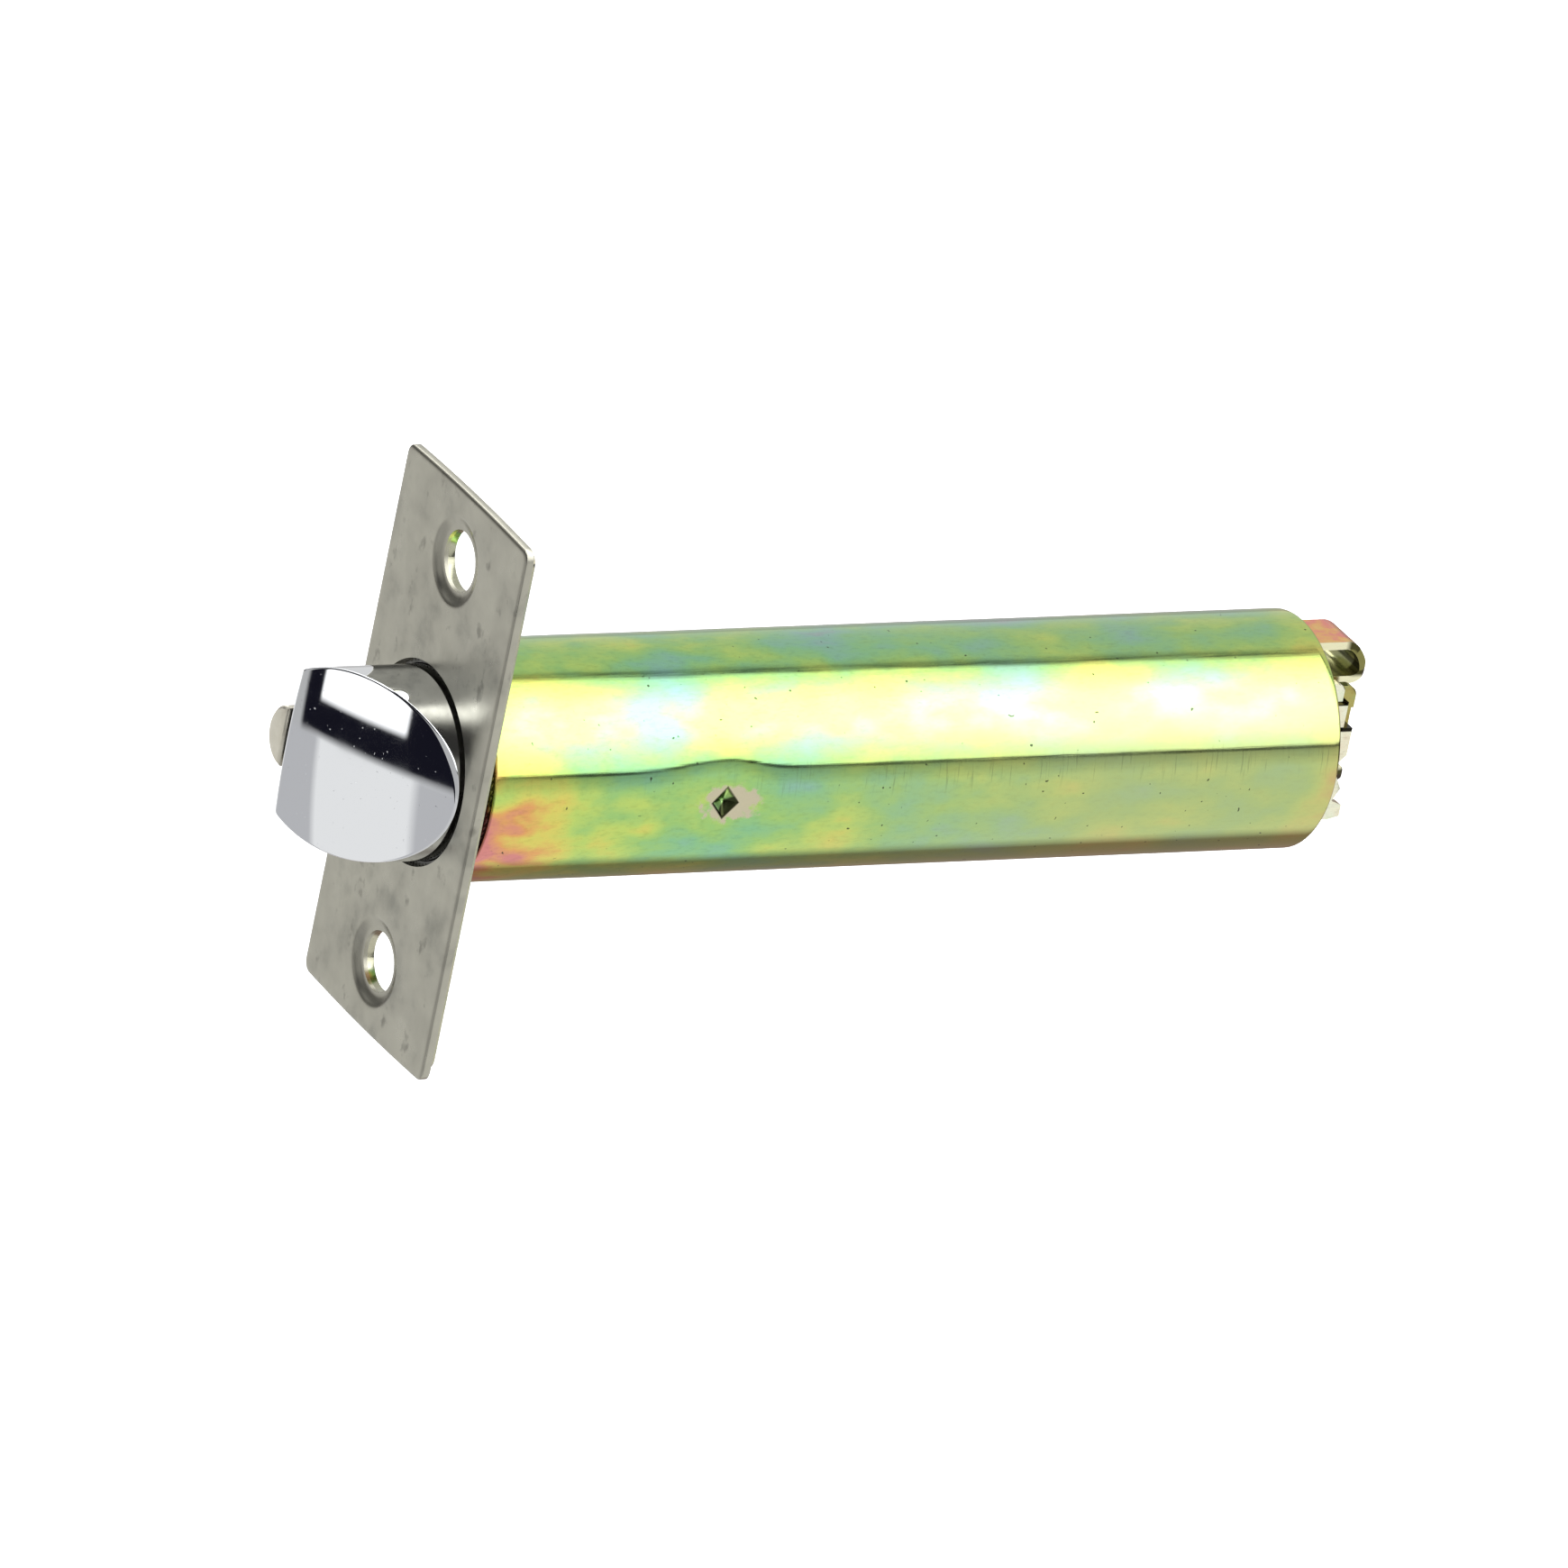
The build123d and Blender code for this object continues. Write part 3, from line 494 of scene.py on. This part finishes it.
def tube_shift(tree):
    """The film's thickness: thin beside the plate, most so low down, thicker on top, thin at the rear rim."""
    place = add_node(tree, "ShaderNodeTexCoord").outputs["Object"]
    axes = add_node(tree, "ShaderNodeSeparateXYZ", {0: place})
    along, height = axes.outputs["X"], axes.outputs["Z"]
    by_plate = add_node(
        tree, "ShaderNodeMapRange", {0: along, 1: BESIDE_PLATE[0], 2: BESIDE_PLATE[1], 3: 1.0, 4: 0.0})
    low_down = add_node(
        tree, "ShaderNodeMapRange",
        {0: height, 1: LOW_TO_HIGH[0], 2: LOW_TO_HIGH[1], 3: THIN_BY_PLATE[0], 4: THIN_BY_PLATE[1]})
    on_top = add_node(
        tree, "ShaderNodeMapRange",
        {0: height, 1: HIGH_TO_TOP[0], 2: HIGH_TO_TOP[1], 3: THICK_ON_TOP[0], 4: THICK_ON_TOP[1]})
    rim = add_node(
        tree, "ShaderNodeMapRange",
        {0: along, 1: LAST_OF_TUBE[0], 2: LAST_OF_TUBE[1], 3: 0.0, 4: THIN_AT_REAR})
    total = add_node(tree, "ShaderNodeMath", {0: by_plate, 1: low_down, 2: on_top}, operation="MULTIPLY_ADD")
    return add_node(tree, "ShaderNodeMath", {0: total, 1: rim}, operation="ADD")


tube_chromate = yellow_chromate("tube_chromate", TUBE_FILM, 0.0, (13, 7, 7), (0.06, 0.12), tube_shift)
tree = tube_chromate.node_tree
shader = tree.nodes["Principled BSDF"]
place = add_node(tree, "ShaderNodeTexCoord").outputs["Object"]
axes = add_node(tree, "ShaderNodeSeparateXYZ", {0: place})
along, height = axes.outputs["X"], axes.outputs["Z"]

# The film is paler over the rear half, and less so on top.
PALE_REAR = (32 * MM, 70 * MM)
PALE_MOST = 0.62
PALE_BELOW = (6 * MM, 9 * MM)
PALE_ON_TOP = 0.25
pale = add_node(
    tree, "ShaderNodeMapRange", {0: along, 1: PALE_REAR[0], 2: PALE_REAR[1], 3: 0.0, 4: PALE_MOST})
below_top = add_node(
    tree, "ShaderNodeMapRange", {0: height, 1: PALE_BELOW[0], 2: PALE_BELOW[1], 3: 1.0, 4: PALE_ON_TOP})
pale = add_node(tree, "ShaderNodeMath", {0: pale, 1: below_top}, operation="MULTIPLY")
film_colour = shader.inputs["Base Color"].links[0].from_socket
colour = add_node(
    tree, "ShaderNodeMix", {0: pale, 6: film_colour, 7: linear("#BEC38A")}, data_type="RGBA").outputs[2]

# Rubs across the tube, most of them in a band behind the stake. The real ones are finer, and are drawn
# 0.22 mm wide to show.
RUB_HEIGHT = 2.2 * MM
RUB_BAND = (0.6 * MM, 2.2 * MM)
RUB_START = (24 * MM, 38 * MM)
RUB_LEAST = 0.2
rubs = add_node(
    tree, "ShaderNodeValToRGB", {0: grain(tree, (0.22, 4, 4), 2.0, 3.3)}, stops=[(0.6, 0.0), (0.72, 0.3)])
off_band = add_node(tree, "ShaderNodeMath", {0: height, 1: RUB_HEIGHT}, operation="SUBTRACT")
off_band = add_node(tree, "ShaderNodeMath", {0: off_band}, operation="ABSOLUTE")
in_band = add_node(
    tree, "ShaderNodeMapRange", {0: off_band, 1: RUB_BAND[0], 2: RUB_BAND[1], 3: 1.0, 4: 0.0})
rubs = add_node(tree, "ShaderNodeMath", {0: rubs, 1: in_band}, operation="MULTIPLY")
behind_stake = add_node(
    tree, "ShaderNodeMapRange", {0: along, 1: RUB_START[0], 2: RUB_START[1], 3: RUB_LEAST, 4: 1.0})
rubs = add_node(tree, "ShaderNodeMath", {0: rubs, 1: behind_stake}, operation="MULTIPLY")
colour = add_node(
    tree, "ShaderNodeMix", {0: rubs, 6: colour, 7: linear("#5E6450")}, data_type="RGBA").outputs[2]

# Dark specks of half a millimetre in the film.
speck = add_node(
    tree, "ShaderNodeValToRGB", {0: grain(tree, (0.5, 0.5, 0.5), 0.0, 8.2)},
    stops=[(0.83, 0.0), (0.86, 0.85)])
colour = add_node(
    tree, "ShaderNodeMix", {0: speck, 6: colour, 7: linear("#3A3A2C")}, data_type="RGBA").outputs[2]

# A ragged bare patch round the stake, where the punch knocked the film off.
BARE_SIZE = (3.3 * MM, 6 * MM, 1.9 * MM)
BARE_CENTRE = (STAKE_X + 0.7 * MM, -TUBE_RADIUS, -0.1 * MM)
BARE_EDGE = (1.7, 1.95)
BARE_MOST = 0.9
RAGGED = 1.8
spot = add_node(tree, "ShaderNodeMapping", {
    "Vector": place, "Location": tuple(-c / s for c, s in zip(BARE_CENTRE, BARE_SIZE)),
    "Scale": tuple(1 / s for s in BARE_SIZE)})
away = add_node(tree, "ShaderNodeVectorMath", {0: spot}, operation="LENGTH").outputs["Value"]
ragged = add_node(
    tree, "ShaderNodeMath", {0: grain(tree, (1.1, 1.1, 1.1), 4.0, 5.2), 1: RAGGED, 2: away},
    operation="MULTIPLY_ADD")
bare = add_node(
    tree, "ShaderNodeMapRange", {0: ragged, 1: BARE_EDGE[0], 2: BARE_EDGE[1], 3: BARE_MOST, 4: 0.0})

# The stake's pit keeps its film, and has painted shade along its low side and its edge.
PIT_RIM = (0.92, 1.0)
PIT_EDGE = (0.76, 0.9)
PIT_EDGE_SHADE = 0.8
PIT_LOW_SIDE = (0.0, 0.25)
PIT_LOW_SHADE = 0.95
PIT_END = (1.0, 1.1)
pit = add_node(tree, "ShaderNodeMapping", {
    "Vector": place, "Location": (-STAKE_X / STAKE_HALF[0], 0, 0),
    "Scale": (1 / STAKE_HALF[0], 0, 1 / STAKE_HALF[1])})
low_side = add_node(
    tree, "ShaderNodeVectorMath", {0: pit, 1: (1, 0, -1)}, operation="DOT_PRODUCT").outputs["Value"]
low_side = add_node(
    tree, "ShaderNodeMapRange",
    {0: low_side, 1: PIT_LOW_SIDE[0], 2: PIT_LOW_SIDE[1], 3: 0.0, 4: PIT_LOW_SHADE})
pit = add_node(tree, "ShaderNodeVectorMath", {0: pit}, operation="ABSOLUTE")
pit = add_node(tree, "ShaderNodeVectorMath", {0: pit, 1: (1, 0, 1)}, operation="DOT_PRODUCT").outputs["Value"]
outside_pit = add_node(tree, "ShaderNodeMapRange", {0: pit, 1: PIT_RIM[0], 2: PIT_RIM[1]})
bare = add_node(tree, "ShaderNodeMath", {0: bare, 1: outside_pit}, operation="MULTIPLY")
colour = add_node(
    tree, "ShaderNodeMix", {0: bare, 6: colour, 7: linear("#D6CAB2")}, data_type="RGBA").outputs[2]
pit_painted_shade = add_node(
    tree, "ShaderNodeMapRange", {0: pit, 1: PIT_EDGE[0], 2: PIT_EDGE[1], 3: 0.0, 4: PIT_EDGE_SHADE})
pit_painted_shade = add_node(tree, "ShaderNodeMath", {0: low_side, 1: pit_painted_shade}, operation="MAXIMUM")
in_pit = add_node(tree, "ShaderNodeMapRange", {0: pit, 1: PIT_END[0], 2: PIT_END[1], 3: 1.0, 4: 0.0})
near_side = add_node(tree, "ShaderNodeMath", {0: axes.outputs["Y"], 1: 0.0}, operation="LESS_THAN")
in_pit = add_node(tree, "ShaderNodeMath", {0: in_pit, 1: near_side}, operation="MULTIPLY")
pit_painted_shade = add_node(tree, "ShaderNodeMath", {0: pit_painted_shade, 1: in_pit}, operation="MULTIPLY")
# Painted shade: the pit's edge and low side are darkened to a near-black olive.
colour = add_node(
    tree, "ShaderNodeMix", {0: pit_painted_shade, 6: colour, 7: linear("#2E2C1C")}, data_type="RGBA").outputs[2]
tree.links.new(colour, shader.inputs["Base Color"])
BARE_ROUGHNESS = 0.4
film_rough = shader.inputs["Roughness"].links[0].from_socket
bare_rough = add_node(tree, "ShaderNodeMix", {0: bare, 2: film_rough, 3: BARE_ROUGHNESS}).outputs[0]
tree.links.new(bare_rough, shader.inputs["Roughness"])

low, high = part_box("case_tube")
bm = bmesh.new()
corners = [(low.x, TUBE_BORE), (low.x, TUBE_RADIUS), (high.x, TUBE_RADIUS), (high.x, TUBE_BORE)]
section = bm.faces.new([bm.verts.new((x, 0, r)) for x, r in corners])
outer = [v for v in section.verts if v.co.z > TUBE_BORE + 1e-6]
bmesh.ops.bevel(bm, geom=outer, offset=TUBE_RIM, segments=4, profile=0.5, affect="VERTICES", material=-1)
bm.edges.ensure_lookup_table()
long_edges = sorted(bm.edges, key=lambda e: -e.calc_length())[:2]
skin = max(long_edges, key=lambda e: e.verts[0].co.z)
bmesh.ops.subdivide_edges(bm, edges=[skin], cuts=TUBE_CUTS)
bmesh.ops.delete(bm, geom=bm.faces[:], context="FACES_ONLY")
bmesh.ops.spin(
    bm, geom=bm.verts[:] + bm.edges[:], cent=(0, 0, 0), axis=(1, 0, 0), steps=TUBE_STEPS, angle=2 * pi,
    use_merge=True)
bmesh.ops.remove_doubles(bm, verts=bm.verts[:], dist=0.001 * MM)
bmesh.ops.recalc_face_normals(bm, faces=bm.faces[:])
near_stake = []
for edge in bm.edges:
    middle = (edge.verts[0].co + edge.verts[1].co) / 2
    if hypot(middle.x - STAKE_X, middle.z) < STAKE_PATCH and middle.y < SKIN_THICKNESS - TUBE_RADIUS:
        near_stake.append(edge)
bmesh.ops.subdivide_edges(bm, edges=near_stake, cuts=2, use_grid_fill=True)
for v in bm.verts:
    reach = hypot(v.co.y, v.co.z)
    if reach > TUBE_RADIUS - 1e-6:
        turn = atan2(v.co.z, -v.co.y)
        from_stake = v.co.x - STAKE_X
        across = turn * TUBE_RADIUS
        reach_along = DENT_REACH[from_stake > 0]
        sink = DENT_DEPTH * exp(-(from_stake / reach_along)**2 / 2 - (across / DENT_REACH[1])**2 / 2)
        inside = 1 - abs(from_stake) / STAKE_HALF[0] - abs(across) / STAKE_HALF[1]
        sink += STAKE_DEPTH * max(0, inside)
        wave = noise.noise(Vector((v.co.x, WAVE_ROUND * v.co.y, WAVE_ROUND * v.co.z)) / WAVE_LENGTH)
        sink += WAVE_DEPTH * (0.5 + wave)
        v.co.y *= 1 - sink / reach
        v.co.z *= 1 - sink / reach
tube = make_piece("case_tube_wall", bm, tube_chromate)
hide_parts("case_tube")
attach(tube, "case")


# Latch bolt
# Die-cast zinc with bright chrome plate. Its bevel is slightly crowned both ways with a rounded rim, and its
# back is flat beside the plunger. In its rear are a round spring pocket and a slot for the drawbar.
BOLT_RADIUS = 9.53 * MM
BOLT_FLAT = 5.8 * MM
BEVEL_FAR = (-0.3, -9.53)
BEVEL_NOSE = (-10.75, 5.2)
BEVEL_BULGE = 0.56
BEVEL_DOME = 0.005
BEVEL_RIM = 0.45
LEAST_RIM = 0.35
RIM_HEIGHT = 4.5
RIM_SPREAD = 2.5
NOSE_CORNER = 0.5 * MM
BOLT_CENTRE_Y = -1.9 * MM
BOLT_REAR = 14.0 * MM
POCKET_RADIUS = 6.3 * MM
POCKET_Y = -2.3 * MM
POCKET_FRONT = 6.0 * MM
SLOT_HALF = (0.75 * MM, 3.95 * MM)
SLOT_ROOM = 0.15 * MM
RING_STEPS = 44
RING_CROWDING = 2.2


def bevel_depth(y, z):
    """How far forward the bevel's skin lies at a width and height, all in millimetres."""
    along = (y - BEVEL_FAR[1]) / (BEVEL_NOSE[1] - BEVEL_FAR[1])
    body = BOLT_RADIUS / MM
    rim = BEVEL_FAR[0] + (BEVEL_NOSE[0] - BEVEL_FAR[0]) * along - 4 * BEVEL_BULGE * along * (1 - along)
    dome = BEVEL_DOME * (body**2 - y**2 - z**2)
    to_side = max(0.0, body - hypot(y, z))
    to_back = max(0.0, BOLT_FLAT / MM - y)
    side_rim = BEVEL_RIM * (LEAST_RIM + (1 - LEAST_RIM) * exp(-((z - RIM_HEIGHT) / RIM_SPREAD)**2))
    for inside, radius in ((to_side, side_rim), (to_back, BEVEL_RIM)):
        if inside < radius:
            rim += radius - sqrt(radius**2 - (radius - inside)**2)
    return rim - dome


# Bright chrome plate on a polished casting: a mirror with a slight haze, and a few fine pits that are drawn
# 0.35 mm wide to show.
chrome, tree, shader = new_material("bright_chrome")
shader.inputs["Base Color"].default_value = linear("#EDEFF1")
shader.inputs["Metallic"].default_value = 1.0
haze = add_node(
    tree, "ShaderNodeValToRGB", {0: grain(tree, (3, 3, 3), 3.0)}, stops=[(0.3, 0.015), (0.7, 0.04)])
tree.links.new(haze.outputs[0], shader.inputs["Roughness"])
pits = add_node(
    tree, "ShaderNodeValToRGB", {0: grain(tree, (0.35, 0.35, 0.35), 1.0, 2.6)},
    stops=[(0.74, 1.0), (0.8, 0.0)])
bump = add_node(tree, "ShaderNodeBump", {"Strength": 0.15, "Distance": 0.02 * MM, "Height": pits})
tree.links.new(bump.outputs[0], shader.inputs["Normal"])

bm = bmesh.new()
bmesh.ops.create_circle(bm, cap_ends=True, segments=224, radius=BOLT_RADIUS, matrix=TO_YZ)
everything = bm.verts[:] + bm.edges[:] + bm.faces[:]
bmesh.ops.bisect_plane(bm, geom=everything, plane_co=(0, BOLT_FLAT, 0), plane_no=(0, 1, 0), clear_outer=True)
bmesh.ops.delete(bm, geom=bm.faces[:], context="FACES_ONLY")
tips = [v for v in bm.verts if abs(v.co.y - BOLT_FLAT) < 1e-6]
bmesh.ops.bevel(bm, geom=tips, offset=NOSE_CORNER, segments=6, profile=0.5, affect="VERTICES", material=-1)
back_edge = max(bm.edges, key=lambda e: e.calc_length())
bmesh.ops.subdivide_edges(bm, edges=[back_edge], cuts=48)
front_loop = bm.edges[:]
rear_verts, rear_loop = pull_out(bm, front_loop)
for v in rear_verts:
    v.co.x = BOLT_REAR
for v in {v for e in front_loop for v in e.verts}:
    v.co.x = MM * bevel_depth(v.co.y / MM, v.co.z / MM)
loop = front_loop
scale = 1.0
for i in range(1, RING_STEPS):
    size = 1 - (i / RING_STEPS)**RING_CROWDING
    ring, loop = pull_out(bm, loop)
    for v in ring:
        v.co.y = BOLT_CENTRE_Y + (v.co.y - BOLT_CENTRE_Y) * size / scale
        v.co.z *= size / scale
        v.co.x = MM * bevel_depth(v.co.y / MM, v.co.z / MM)
    scale = size
bmesh.ops.contextual_create(bm, geom=loop)
pocket = bmesh.ops.create_circle(
    bm, segments=96, radius=POCKET_RADIUS, matrix=Matrix.Translation((BOLT_REAR, POCKET_Y, 0)) @ TO_YZ)
pocket_loop = list({e for v in pocket["verts"] for e in v.link_edges})
bmesh.ops.triangle_fill(bm, edges=rear_loop + pocket_loop, use_beauty=True)
floor_verts, floor_loop = pull_out(bm, pocket_loop)
bmesh.ops.translate(bm, verts=list(floor_verts), vec=(POCKET_FRONT - BOLT_REAR, 0, 0))
mouth = [
    bm.verts.new((POCKET_FRONT, POCKET_Y + y * SLOT_HALF[0], z * SLOT_HALF[1]))
    for y, z in ((-1, -1), (1, -1), (1, 1), (-1, 1))]
mouth_loop = [bm.edges.new((mouth[i - 1], mouth[i])) for i in range(4)]
bmesh.ops.triangle_fill(bm, edges=floor_loop + mouth_loop, use_beauty=True)
slot_verts, slot_loop = pull_out(bm, mouth_loop)
slot_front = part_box("drawbar")[0].x - SLOT_ROOM
bmesh.ops.translate(bm, verts=list(slot_verts), vec=(slot_front - POCKET_FRONT, 0, 0))
bmesh.ops.contextual_create(bm, geom=slot_loop)
bmesh.ops.recalc_face_normals(bm, faces=bm.faces[:])
bolt = make_piece("latch_bolt_chrome", bm, chrome, 50)
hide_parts("latch_bolt")
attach(bolt, "bolt")


def sprung(node, name):
    """A coil spring, copied with a mesh of its own. The joint's travel presses the real spring together
    against its rear end.
    """
    spring = finished_copy(node, name, spring_steel, 0, 60)
    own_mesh(spring)


# Turned low-carbon steel, bright and unplated: a light neutral grey with a soft shine.
plain_steel = mottled_metal("turned_steel", 1, 4.0, 0.0, [(0.3, "#8E8E8A"), (0.7, "#A9A9A4")], 0.32)
# Oil-tempered spring wire: darker and bluer than the turned steel, with the gloss of its oil.
spring_steel = mottled_metal("oiled_spring_wire", 0.8, 4.0, 1.3, [(0.3, "#5A5B5E"), (0.7, "#77787B")], 0.28)
finished_copy("bolt_pin", "bolt_cross_pin", plain_steel)
sprung("bolt_spring", "bolt_spring_coil")


# Guard plunger
# Half-round zinc bar, nickel plated, that slides along the bolt's flat back. A flat steel bar riveted behind
# it carries its push to a light spring on a guide rod.
PLUNGER_EDGE = 0.08 * MM
# Satin nickel plate on a tumbled casting: a warm silver that blurs what it mirrors.
nickel = mottled_metal("satin_nickel", 2, 4.0, 0.0, [(0.3, "#CFCABA"), (0.7, "#DEDACB")], 0.24)
finished_copy("guard_plunger", "guard_plunger_bar", nickel, PLUNGER_EDGE)
# Yellow chromate on small pressings: the backplate's dull film, in smaller patches.
inner_chromate = yellow_chromate("inner_chromate", PLATE_FILM, 11.0, (5, 4, 4))
finished_copy("plunger_bar", "plunger_carrier", inner_chromate)
finished_copy("plunger_rivet", "plunger_rivet_shank", plain_steel)
sprung("plunger_spring", "plunger_spring_coil")
finished_copy("spring_guide_rod", "guide_rod", plain_steel)


# Deadlock blade
# A leaf of spring steel riveted to the guide's rear web. The plunger's lug holds it clear of the bolt's rear
# edge, and when the plunger is in it drops behind the bolt.
finished_copy("deadlock_blade", "blade_leaf", spring_steel)
finished_copy("blade_rivet", "blade_rivet_head", plain_steel)


# Spring seat
# A pressed steel cup, plated and chromated, that is crimped in the tube for the two forward springs to push
# against. The drawbar passes through its middle.
finished_copy("spring_seat", "spring_seat_cup", inner_chromate)


# Drawbar and tail
# A blanked steel bar, plated and chromated, that pulls the bolt in. Its stepped head and a hooked second
# plate, joined by two rivets, stand out at the rear, and a spring on a washer and pin returns it.
TAIL_EDGE = 0.12 * MM
RIVET_EDGE = 0.08 * MM
SLIT_HEIGHTS = (3.85 * MM, 1.0 * MM)
SLIT_HALF = (0.2 * MM, 0.3 * MM)
HEAD_START = (96.3 * MM, 97.0 * MM)
# Yellow chromate on a blanked edge: almost white, with a trace of cream and green, and black painted shade
# along the slits on the head.
TAIL_FILM = [(0.0, "#F2E4C8"), (0.3, "#F4F0D4"), (0.6, "#F4F5DC"), (0.85, "#E8F0D0"), (1.0, "#DCE8CC")]
tail_chromate = yellow_chromate("tail_chromate", TAIL_FILM, 21.0, (3, 3, 3))
tree = tail_chromate.node_tree
shader = tree.nodes["Principled BSDF"]
place = add_node(tree, "ShaderNodeTexCoord").outputs["Object"]
axes = add_node(tree, "ShaderNodeSeparateXYZ", {0: place})
on_head = add_node(tree, "ShaderNodeMapRange", {0: axes.outputs["X"], 1: HEAD_START[0], 2: HEAD_START[1]})
colour = shader.inputs["Base Color"].links[0].from_socket
# Painted shade: a band at each slit's height on the head is darkened to near black.
for slit_height in SLIT_HEIGHTS:
    off_slit = add_node(tree, "ShaderNodeMath", {0: axes.outputs["Z"], 1: slit_height}, operation="SUBTRACT")
    off_slit = add_node(tree, "ShaderNodeMath", {0: off_slit}, operation="ABSOLUTE")
    slit_painted_shade = add_node(
        tree, "ShaderNodeMapRange", {0: off_slit, 1: SLIT_HALF[0], 2: SLIT_HALF[1], 3: 1.0, 4: 0.0})
    slit_painted_shade = add_node(tree, "ShaderNodeMath", {0: slit_painted_shade, 1: on_head}, operation="MULTIPLY")
    colour = add_node(
        tree, "ShaderNodeMix", {0: slit_painted_shade, 6: colour, 7: linear("#24221A")}, data_type="RGBA").outputs[2]
tree.links.new(colour, shader.inputs["Base Color"])
# Yellow chromate on the hooked plate: a thicker film, brassy olive.
CLAW_FILM = [(0.0, "#A08A50"), (0.4, "#B5AC66"), (0.7, "#A9B070"), (1.0, "#98A47C")]
claw_chromate = yellow_chromate("claw_chromate", CLAW_FILM, 24.0, (3, 3, 3))
finished_copy("drawbar", "drawbar_blank", tail_chromate, TAIL_EDGE)
finished_copy("tail_hook_plate", "tail_claw", claw_chromate, TAIL_EDGE)
finished_copy("tail_rivets", "tail_rivet_pair", plain_steel, RIVET_EDGE)
finished_copy("drawbar_pin", "drawbar_cross_pin", plain_steel)
finished_copy("drawbar_washer", "return_washer", plain_steel)
sprung("drawbar_spring", "return_spring_coil")


# Rear plug and prongs
# The plug is a bare die casting pressed in the tube's rear, with a slot for the drawbar. Two prongs of sheet
# steel, folded back over themselves, are riveted in it and hook over the lock's frame.
PRONG_EDGE = 0.1 * MM
FLOOR_CUT = (0.65 * MM, 0.8 * MM)
LIP_CUT = (2.03 * MM, 2.12 * MM)
LIP_HEIGHT = (6.9 * MM, 7.1 * MM)
OUTER_FACE = (7.6 * MM, 7.9 * MM)
BEND_START = (103.9 * MM, 104.5 * MM)
BEND_CUT = (2.0 * MM, 2.3 * MM)
BEND_HEIGHT = (4.9 * MM, 5.3 * MM)
# Yellow chromate on folded sheet: olive inside the fold, pink and gold in 2.5 mm clouds on the outer face,
# cream on the cut edges, and painted shade at the bend's near end.
PRONG_FILM = [(0.0, "#B0A878"), (0.3, "#B4B082"), (0.6, "#ACAE80"), (0.85, "#A4AA80"), (1.0, "#A0A484")]
BLUSH = [(0.42, "#EE9484"), (0.52, "#F0B470"), (0.64, "#EEC878")]
prong_chromate = yellow_chromate("prong_chromate", PRONG_FILM, 31.0, (4, 4, 4))
tree = prong_chromate.node_tree
shader = tree.nodes["Principled BSDF"]
place = add_node(tree, "ShaderNodeTexCoord").outputs["Object"]
axes = add_node(tree, "ShaderNodeSeparateXYZ", {0: place})
along, depth = axes.outputs["X"], axes.outputs["Y"]
height = add_node(tree, "ShaderNodeMath", {0: axes.outputs["Z"]}, operation="ABSOLUTE")
floor_edge = add_node(
    tree, "ShaderNodeMapRange", {0: depth, 1: FLOOR_CUT[0], 2: FLOOR_CUT[1], 3: 1.0, 4: 0.0})
lip_edge = add_node(tree, "ShaderNodeMapRange", {0: depth, 1: LIP_CUT[0], 2: LIP_CUT[1], 3: 1.0, 4: 0.0})
upper_half = add_node(tree, "ShaderNodeMapRange", {0: height, 1: LIP_HEIGHT[0], 2: LIP_HEIGHT[1]})
lip_edge = add_node(tree, "ShaderNodeMath", {0: lip_edge, 1: upper_half}, operation="MULTIPLY")
cut_edge = add_node(tree, "ShaderNodeMath", {0: floor_edge, 1: lip_edge}, operation="MAXIMUM")
blush = add_node(tree, "ShaderNodeValToRGB", {0: grain(tree, (2.5, 2.5, 2.5), 3.0, 33.3)}, stops=BLUSH)
outer_face = add_node(tree, "ShaderNodeMapRange", {0: height, 1: OUTER_FACE[0], 2: OUTER_FACE[1]})
colour = shader.inputs["Base Color"].links[0].from_socket
colour = add_node(tree, "ShaderNodeMix", {0: outer_face, 6: colour, 7: blush}, data_type="RGBA").outputs[2]
colour = add_node(
    tree, "ShaderNodeMix", {0: cut_edge, 6: colour, 7: linear("#F2EFC8")}, data_type="RGBA").outputs[2]
# Painted shade: the bend's near end, above the floor, is darkened to a dark olive.
in_bend = add_node(tree, "ShaderNodeMapRange", {0: along, 1: BEND_START[0], 2: BEND_START[1]})
near_cut = add_node(tree, "ShaderNodeMapRange", {0: depth, 1: BEND_CUT[0], 2: BEND_CUT[1], 3: 1.0, 4: 0.0})
above_floor = add_node(tree, "ShaderNodeMapRange", {0: height, 1: BEND_HEIGHT[0], 2: BEND_HEIGHT[1]})
bend_painted_shade = add_node(tree, "ShaderNodeMath", {0: in_bend, 1: near_cut}, operation="MULTIPLY")
bend_painted_shade = add_node(tree, "ShaderNodeMath", {0: bend_painted_shade, 1: above_floor}, operation="MULTIPLY")
colour = add_node(
    tree, "ShaderNodeMix", {0: bend_painted_shade, 6: colour, 7: linear("#4C4A2A")}, data_type="RGBA").outputs[2]
tree.links.new(colour, shader.inputs["Base Color"])
finished_copy("rear_plug", "rear_plug_casting", die_cast, PRONG_EDGE)
finished_copy("upper_prong", "upper_prong_fold", prong_chromate, PRONG_EDGE)
finished_copy("lower_prong", "lower_prong_fold", prong_chromate, PRONG_EDGE)
finished_copy("prong_rivets", "prong_rivet_pair", plain_steel, RIVET_EDGE)
